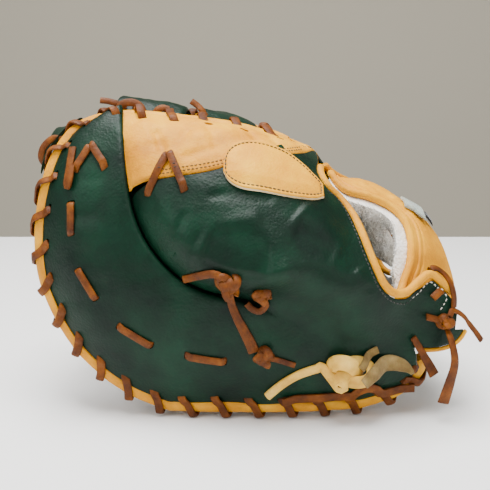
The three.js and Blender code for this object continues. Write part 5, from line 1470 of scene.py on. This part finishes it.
strap_objects = build_strap()
strap_trees = []
for obj in strap_objects:
    add_cover(obj)
    strap_trees.append(COVER[-1])
build_fleece()
for side in (FINGER, THUMB):
    add_cover(build_binding(side))
    add_cover(build_roll(side))
    add_cover(build_piping(side))
    put_lace(f"{side.name}_whip_lace", [shapes[side]], f"{side.name}_edge_lace")
build_web()
for number, a, b in RIM_STITCHES:
    put_lace(f"rim_stitch_{number}", [stitch_path(a, b, 0.5)], f"finger_rim_lace_{number}")
for name, left, top, right in CROSSED:
    parts = [stitch_path(left, top, 0.6), stitch_path(right, top, 2.4)]
    put_lace(name.replace("finger", "crossed"), parts, name)
pad_threads = build_index_pad()
build_tab("tab_with_border", TAB_ROWS, 3, [TAB], "tab_cloth", "strap_tab", strap_trees, 0.5)
build_tab("pull_loop", PULL_ROWS, 2, [DARK], "dark_lining", "strap_pull", strap_trees, 0.3)

# Knots with their ends
put_lace("slot_knot", [
    *wound_knot((-0.088, 15.4), (16, 22, 12), 0.4),
    lace_run([(-0.085, 13, 5), (-0.078, 8, 1), (-0.055, 2.5, 1), (-0.025, -3, 1),
                      (0.005, -8.5, 1), (0.02, -12, 1)], taper=[1, 1, 1.1, 1.25, 1.4, 1.5]),
    lace_run([(-0.1, 17, 4), (-0.15, 18.5, 4), (-0.22, 17.5, 3),
                      (-0.285, 16, 3)]),
], "finger_slot_lace")
put_lace("curl_knot", [
    *wound_knot((0.056, 13.4), (11, 12, 9), 0.9),
    lace_run([(0.06, 12, 3), (0.07, 9.5, 1), (0.045, 6.6, 1), (0.012, 7, 1),
                      (-0.012, 9, 1)], width=4.4),
], "finger_curl_lace")
put_lace("rim_knot", [
    *wound_knot((0.067, -12.6), (13, 14, 9), 1.1),
    lace_run([(0.09, -13, 3), (0.12, -13.6, 1), (0.16, -14.4, 1),
                      (0.2, -15.2, 1)], width=3.8),
], "finger_rim_lace_knot")
put_lace("heel_knot", [
    *wound_knot((0.883, 21), (11, 12, 9), 0.2),
    lace_run([(0.86, 21.2, 3), (0.83, 21.5, 1), (0.79, 21.3, 1)]),
    lace_run([(0.888, 18, 3), (0.895, 13, 34, "height"), (0.91, 3, 34, "height"),
                      (0.895, -8, 32, "height"), (0.87, -18, 32, "height")], taper=[0.9, 1, 1.2, 1.5, 1.7]),
    lace_run([(0.9, 25, 3), (0.92, 29, 3), (0.98, 28, 36, "height"), (1.03, 22, 27, "height"),
                      (1.07, 15, 19, "height")], width=4.2),
], "heel_lace")
put_lace("strap_lace_run", [
    lace_run([(0.8215, 46.5, -11, "over"), (0.826, 46.8, -5, "over"), (0.85, 48, -3.5, "over"),
                      (0.885, 46.5, 0, "over"), (0.912, 42, 4, "over"), (0.925, 36, 3.5, "over"),
                      (0.925, 31, 0.5, "over")], settle=False),
], "strap_lace")
put_lace("strap_lace_tip", [
    lace_run([(0.815, 30.5, 1.2), (0.84, 33.5, 1.4), (0.862, 36, 1)]),
], "strap_lace_end")
put_lace("heel_stub", [
    lace_run([(0.735, 9, 1), (0.77, 3, 17, "height"), (0.81, -4, 17, "height"),
                      (0.84, -10, 18, "height")], taper=[0.9, 1, 1.2, 1.4]),
], "heel_stub_lace")

# The rawhide tie: an overhand knot of a broad flat thong, one end smooth and one end suede
centre, first, second, up = knot_place(0.444, -13.7, 6.5)
loop = trefoil(0.5, 90, (5.0, 4.4, 3.4))
tie_knot = centre + first * loop[:, :1] + second * loop[:, 1:2] + up * loop[:, 2:]
knot_out = unit(first * loop[:, :1] * 0.35 + second * loop[:, 1:2] * 0.45 + up * (loop[:, 2:] * 1.2 + 6.0))
tail, tail_up = laid([(0.331, -13.5, 2), (0.27, -16.5, 1), (0.21, -20, 1),
                              (0.14, -26, 1), (0.08, -32, 1)], 6.0)
joint = np.vstack([tail[::-1], tie_knot])
joint_up = np.vstack([tail_up[::-1], knot_out])
both = curve_through(np.hstack([joint[::2], joint_up[::2] * 3]), 1.0)
wide = np.interp(np.linspace(0, 1, len(both)), [0, 0.3, 0.42, 0.9, 1], [0.55, 0.62, 1, 1, 0.8])
thong = ribbon(both[:, :3], both[:, 3:], 10.5, 2.2, wide, curl=0.4)
RAWHIDE = material("rawhide_thong", textured(
    [(184, 132, 36), (212, 164, 58), (232, 190, 92)], 0.6, 1.0, 0.2, 6.0, 0.7, blotch=50))
put("tie_knot", [thong], RAWHIDE, "suede_tie", "rawhide_tie")
put("tie_suede_end", [
    lace_run([(0.5, -14, 3), (0.55, -10, 1), (0.61, -7.5, 1), (0.67, -7, 2),
                      (0.72, -9, 3), (0.735, -10.2, 6.5)], 9.5, 2.2, [0.8, 1.1, 1.3, 1.25, 0.95, 0.3],
             curl=0.4),
    lace_run([(0.49, -9, 3), (0.53, -4, 1), (0.57, -1, 1)], 6.0, 1.8,
             [0.9, 1, 0.9]),
], SUEDE, "suede_tie")


# Threads
def on_surface(s, angle):
    """Points and normals of a line of spots on what lies under them."""
    points, ups = [], []
    for a, b in zip(s, angle):
        under = surface_at(a, b)
        points.append(place(FINGER, a, b, under))
        ups.append(directions(FINGER, a, b, under)[2])
    return np.array(points), np.array(ups)


def seam_line(t, inside):
    """A line beside the upper edge of the back, a distance inside it."""
    top = top_line(FINGER, t)
    slot = slot_line(t)
    short = short_of(FINGER, slot, top, top_offset(FINGER, t), top_direction(FINGER, t), inside)
    s, angle = top[0] + (slot[0] - top[0]) * short, top[1] + (slot[1] - top[1]) * short
    return on_surface(s, angle)


def panel_line(p, away):
    t = SEAM_END - (SEAM_END - CORNER) * p
    seam = top_line(FINGER, t)
    edge = inset(FINGER, PANEL_EDGE[0] + (PANEL_EDGE[1] - PANEL_EDGE[0]) * p, TRIM)
    w = away / np.maximum(span(FINGER, seam, edge), 1)
    s, angle = seam[0] + (edge[0] - seam[0]) * w, seam[1] + (edge[1] - seam[1]) * w
    return on_surface(s, angle)


dark_threads = list(pad_threads)
dark_threads += stitches(*seam_line(np.linspace(1.3, 8.0, 120), ROLL / 2 + 3.2), 1.8, 3.2, 0.7)
for away in (2.2, 4.6):
    dark_threads += stitches(*panel_line(np.linspace(0.06, 0.8, 90), away), 1.8, 2.8, 0.6)
white_threads = stitches(*seam_line(np.linspace(0.3, 1.9, 60), ROLL / 2 + 3.4), 1.5, 3.6, 0.8)
shaded(mesh_object("dark_stitching", joined(dark_threads)), "lace_leather", [THREAD])
shaded(mesh_object("pale_stitching", joined(white_threads)), "lace_leather", [WHITE_THREAD])


# Lace ends and loops that no solid stands for
def free_lace(spots, facing, width=LACE_WIDTH):
    """A lace through points of the mitt, its face towards one direction."""
    line = curve_through(spots, 1.2)
    normals = np.repeat(unit(np.array([facing], float)), len(line), 0)
    return ribbon(line, normals, width, LACE_THICK, curl=0.2)


put_lace("web_lace_ends", [
    free_lace([(-93.5, -22, 207.5), (-89.5, -22, 212.5), (-83, -22, 213.6), (-77.5, -22, 211),
               (-75, -22, 206)], (0.1, -1, 0.35), 5.6),
    free_lace([(-88.5, -16, 209), (-94, -18, 212.5), (-100.5, -18.6, 214.4), (-106, -19, 215)],
              (0.1, -1, 0.5), 4.6),
    free_lace([(-31, -17, 203), (-34, -16, 208), (-37.4, -14.5, 211.4), (-41.5, -14, 214.3)],
              (0.4, -1, 0.5), 4.6),
    free_lace([(-68, -18, 203), (-66, -18, 207.5), (-62, -17.6, 209.6), (-57.5, -17.4, 208.4)],
              (0, -1, 0.4), 5),
])
put_lace("tip_lace_loop", [
    free_lace([(-131, -31, 188), (-138, -31.5, 188.8), (-144.6, -32, 183), (-146.6, -32, 175.5),
               (-143, -31.5, 170.4), (-137, -30.5, 171.5)], (-0.2, -1, 0.1), 4.8),
])
put_lace("lower_lace_run", [
    lace_run([(0.15, -34, 1), (0.26, -31, 1), (0.37, -28.3, 1),
                      (0.46, -27, 1)], width=5.4),
    lace_run([(0.455, -29, 1), (0.48, -25, 1.6), (0.53, -21.6, 2.4),
                      (0.575, -22.5, 1.6), (0.61, -25, 1.2), (0.7, -24, 1),
                      (0.76, -22, 1)], width=5.6),
])
put_lace("folded_lace_end", [
    lace_run([(-0.788, 62.2, 1.2), (-0.796, 56, 1.4), (-0.806, 49.5, 2.2),
                      (-0.8, 47.6, 4.2), (-0.792, 50, 4.6), (-0.786, 55, 3.2)]),
])

# Stage, light and camera
def sheet(name, corners):
    mesh = bpy.data.meshes.new(name)
    mesh.from_pydata(corners, [], [(0, 1, 2, 3)])
    return bpy.data.objects.new(name, mesh)


TABLE_END = 0.63  # where the table ends behind the mitt, in metres
WALL_AT = 2.0  # the wall stands well behind it
floor = sheet("floor", [(-2.5, -1.6, 0), (2.5, -1.6, 0), (2.5, TABLE_END, 0), (-2.5, TABLE_END, 0)])
backdrop = sheet("backdrop", [(-6, WALL_AT, 4), (6, WALL_AT, 4), (6, WALL_AT, -2), (-6, WALL_AT, -2)])


def plain(colour, rough):
    def build(tree, shader):
        shader.inputs["Base Color"].default_value = linear(colour)
        shader.inputs["Roughness"].default_value = rough
        shader.inputs["Specular IOR Level"].default_value = 0.2
    return build


floor.data.materials.append(material("pale_table", plain((243, 242, 240), 0.75)))
backdrop.data.materials.append(material("pale_wall", plain((188, 181, 164), 0.9)))
for obj in (floor, backdrop):
    bpy.context.scene.collection.objects.link(obj)

world = bpy.data.worlds.new("soft_room")
bpy.context.scene.world = world
world.use_nodes = True
world.node_tree.nodes["Background"].inputs["Color"].default_value = (1.0, 0.99, 0.97, 1)
world.node_tree.nodes["Background"].inputs["Strength"].default_value = 0.55


def area(name, where, aim, size, power, colour=(1, 1, 1)):
    light = bpy.data.lights.new(name, "AREA")
    light.shape = "RECTANGLE"
    light.size, light.size_y = size
    light.energy = power
    light.color = colour
    obj = bpy.data.objects.new(name, light)
    obj.location = where
    obj.rotation_euler = (Vector(aim) - Vector(where)).to_track_quat("-Z", "Y").to_euler()
    bpy.context.scene.collection.objects.link(obj)


area("top_softbox", (-0.15, -0.1, 1.25), (0, 0, 0.1), (1.0, 0.7), 45)
area("left_softbox", (-1.1, -0.9, 0.9), (0, 0, 0.1), (0.7, 0.9), 9, (0.97, 0.99, 1))
area("right_fill", (1.0, -1.1, 0.7), (0.05, 0, 0.1), (0.9, 0.9), 7, (1, 0.98, 0.95))

camera_data = bpy.data.cameras.new("camera")
camera_data.lens = 63.3
camera_data.sensor_width = 36
camera = bpy.data.objects.new("camera", camera_data)
camera.location = Vector((np.array([-3.0, -640.0, 232.0]) + SHIFT) / 1000)
camera.rotation_euler = (math.radians(90 - 11.1), 0, 0)
bpy.context.scene.collection.objects.link(camera)
bpy.context.scene.camera = camera
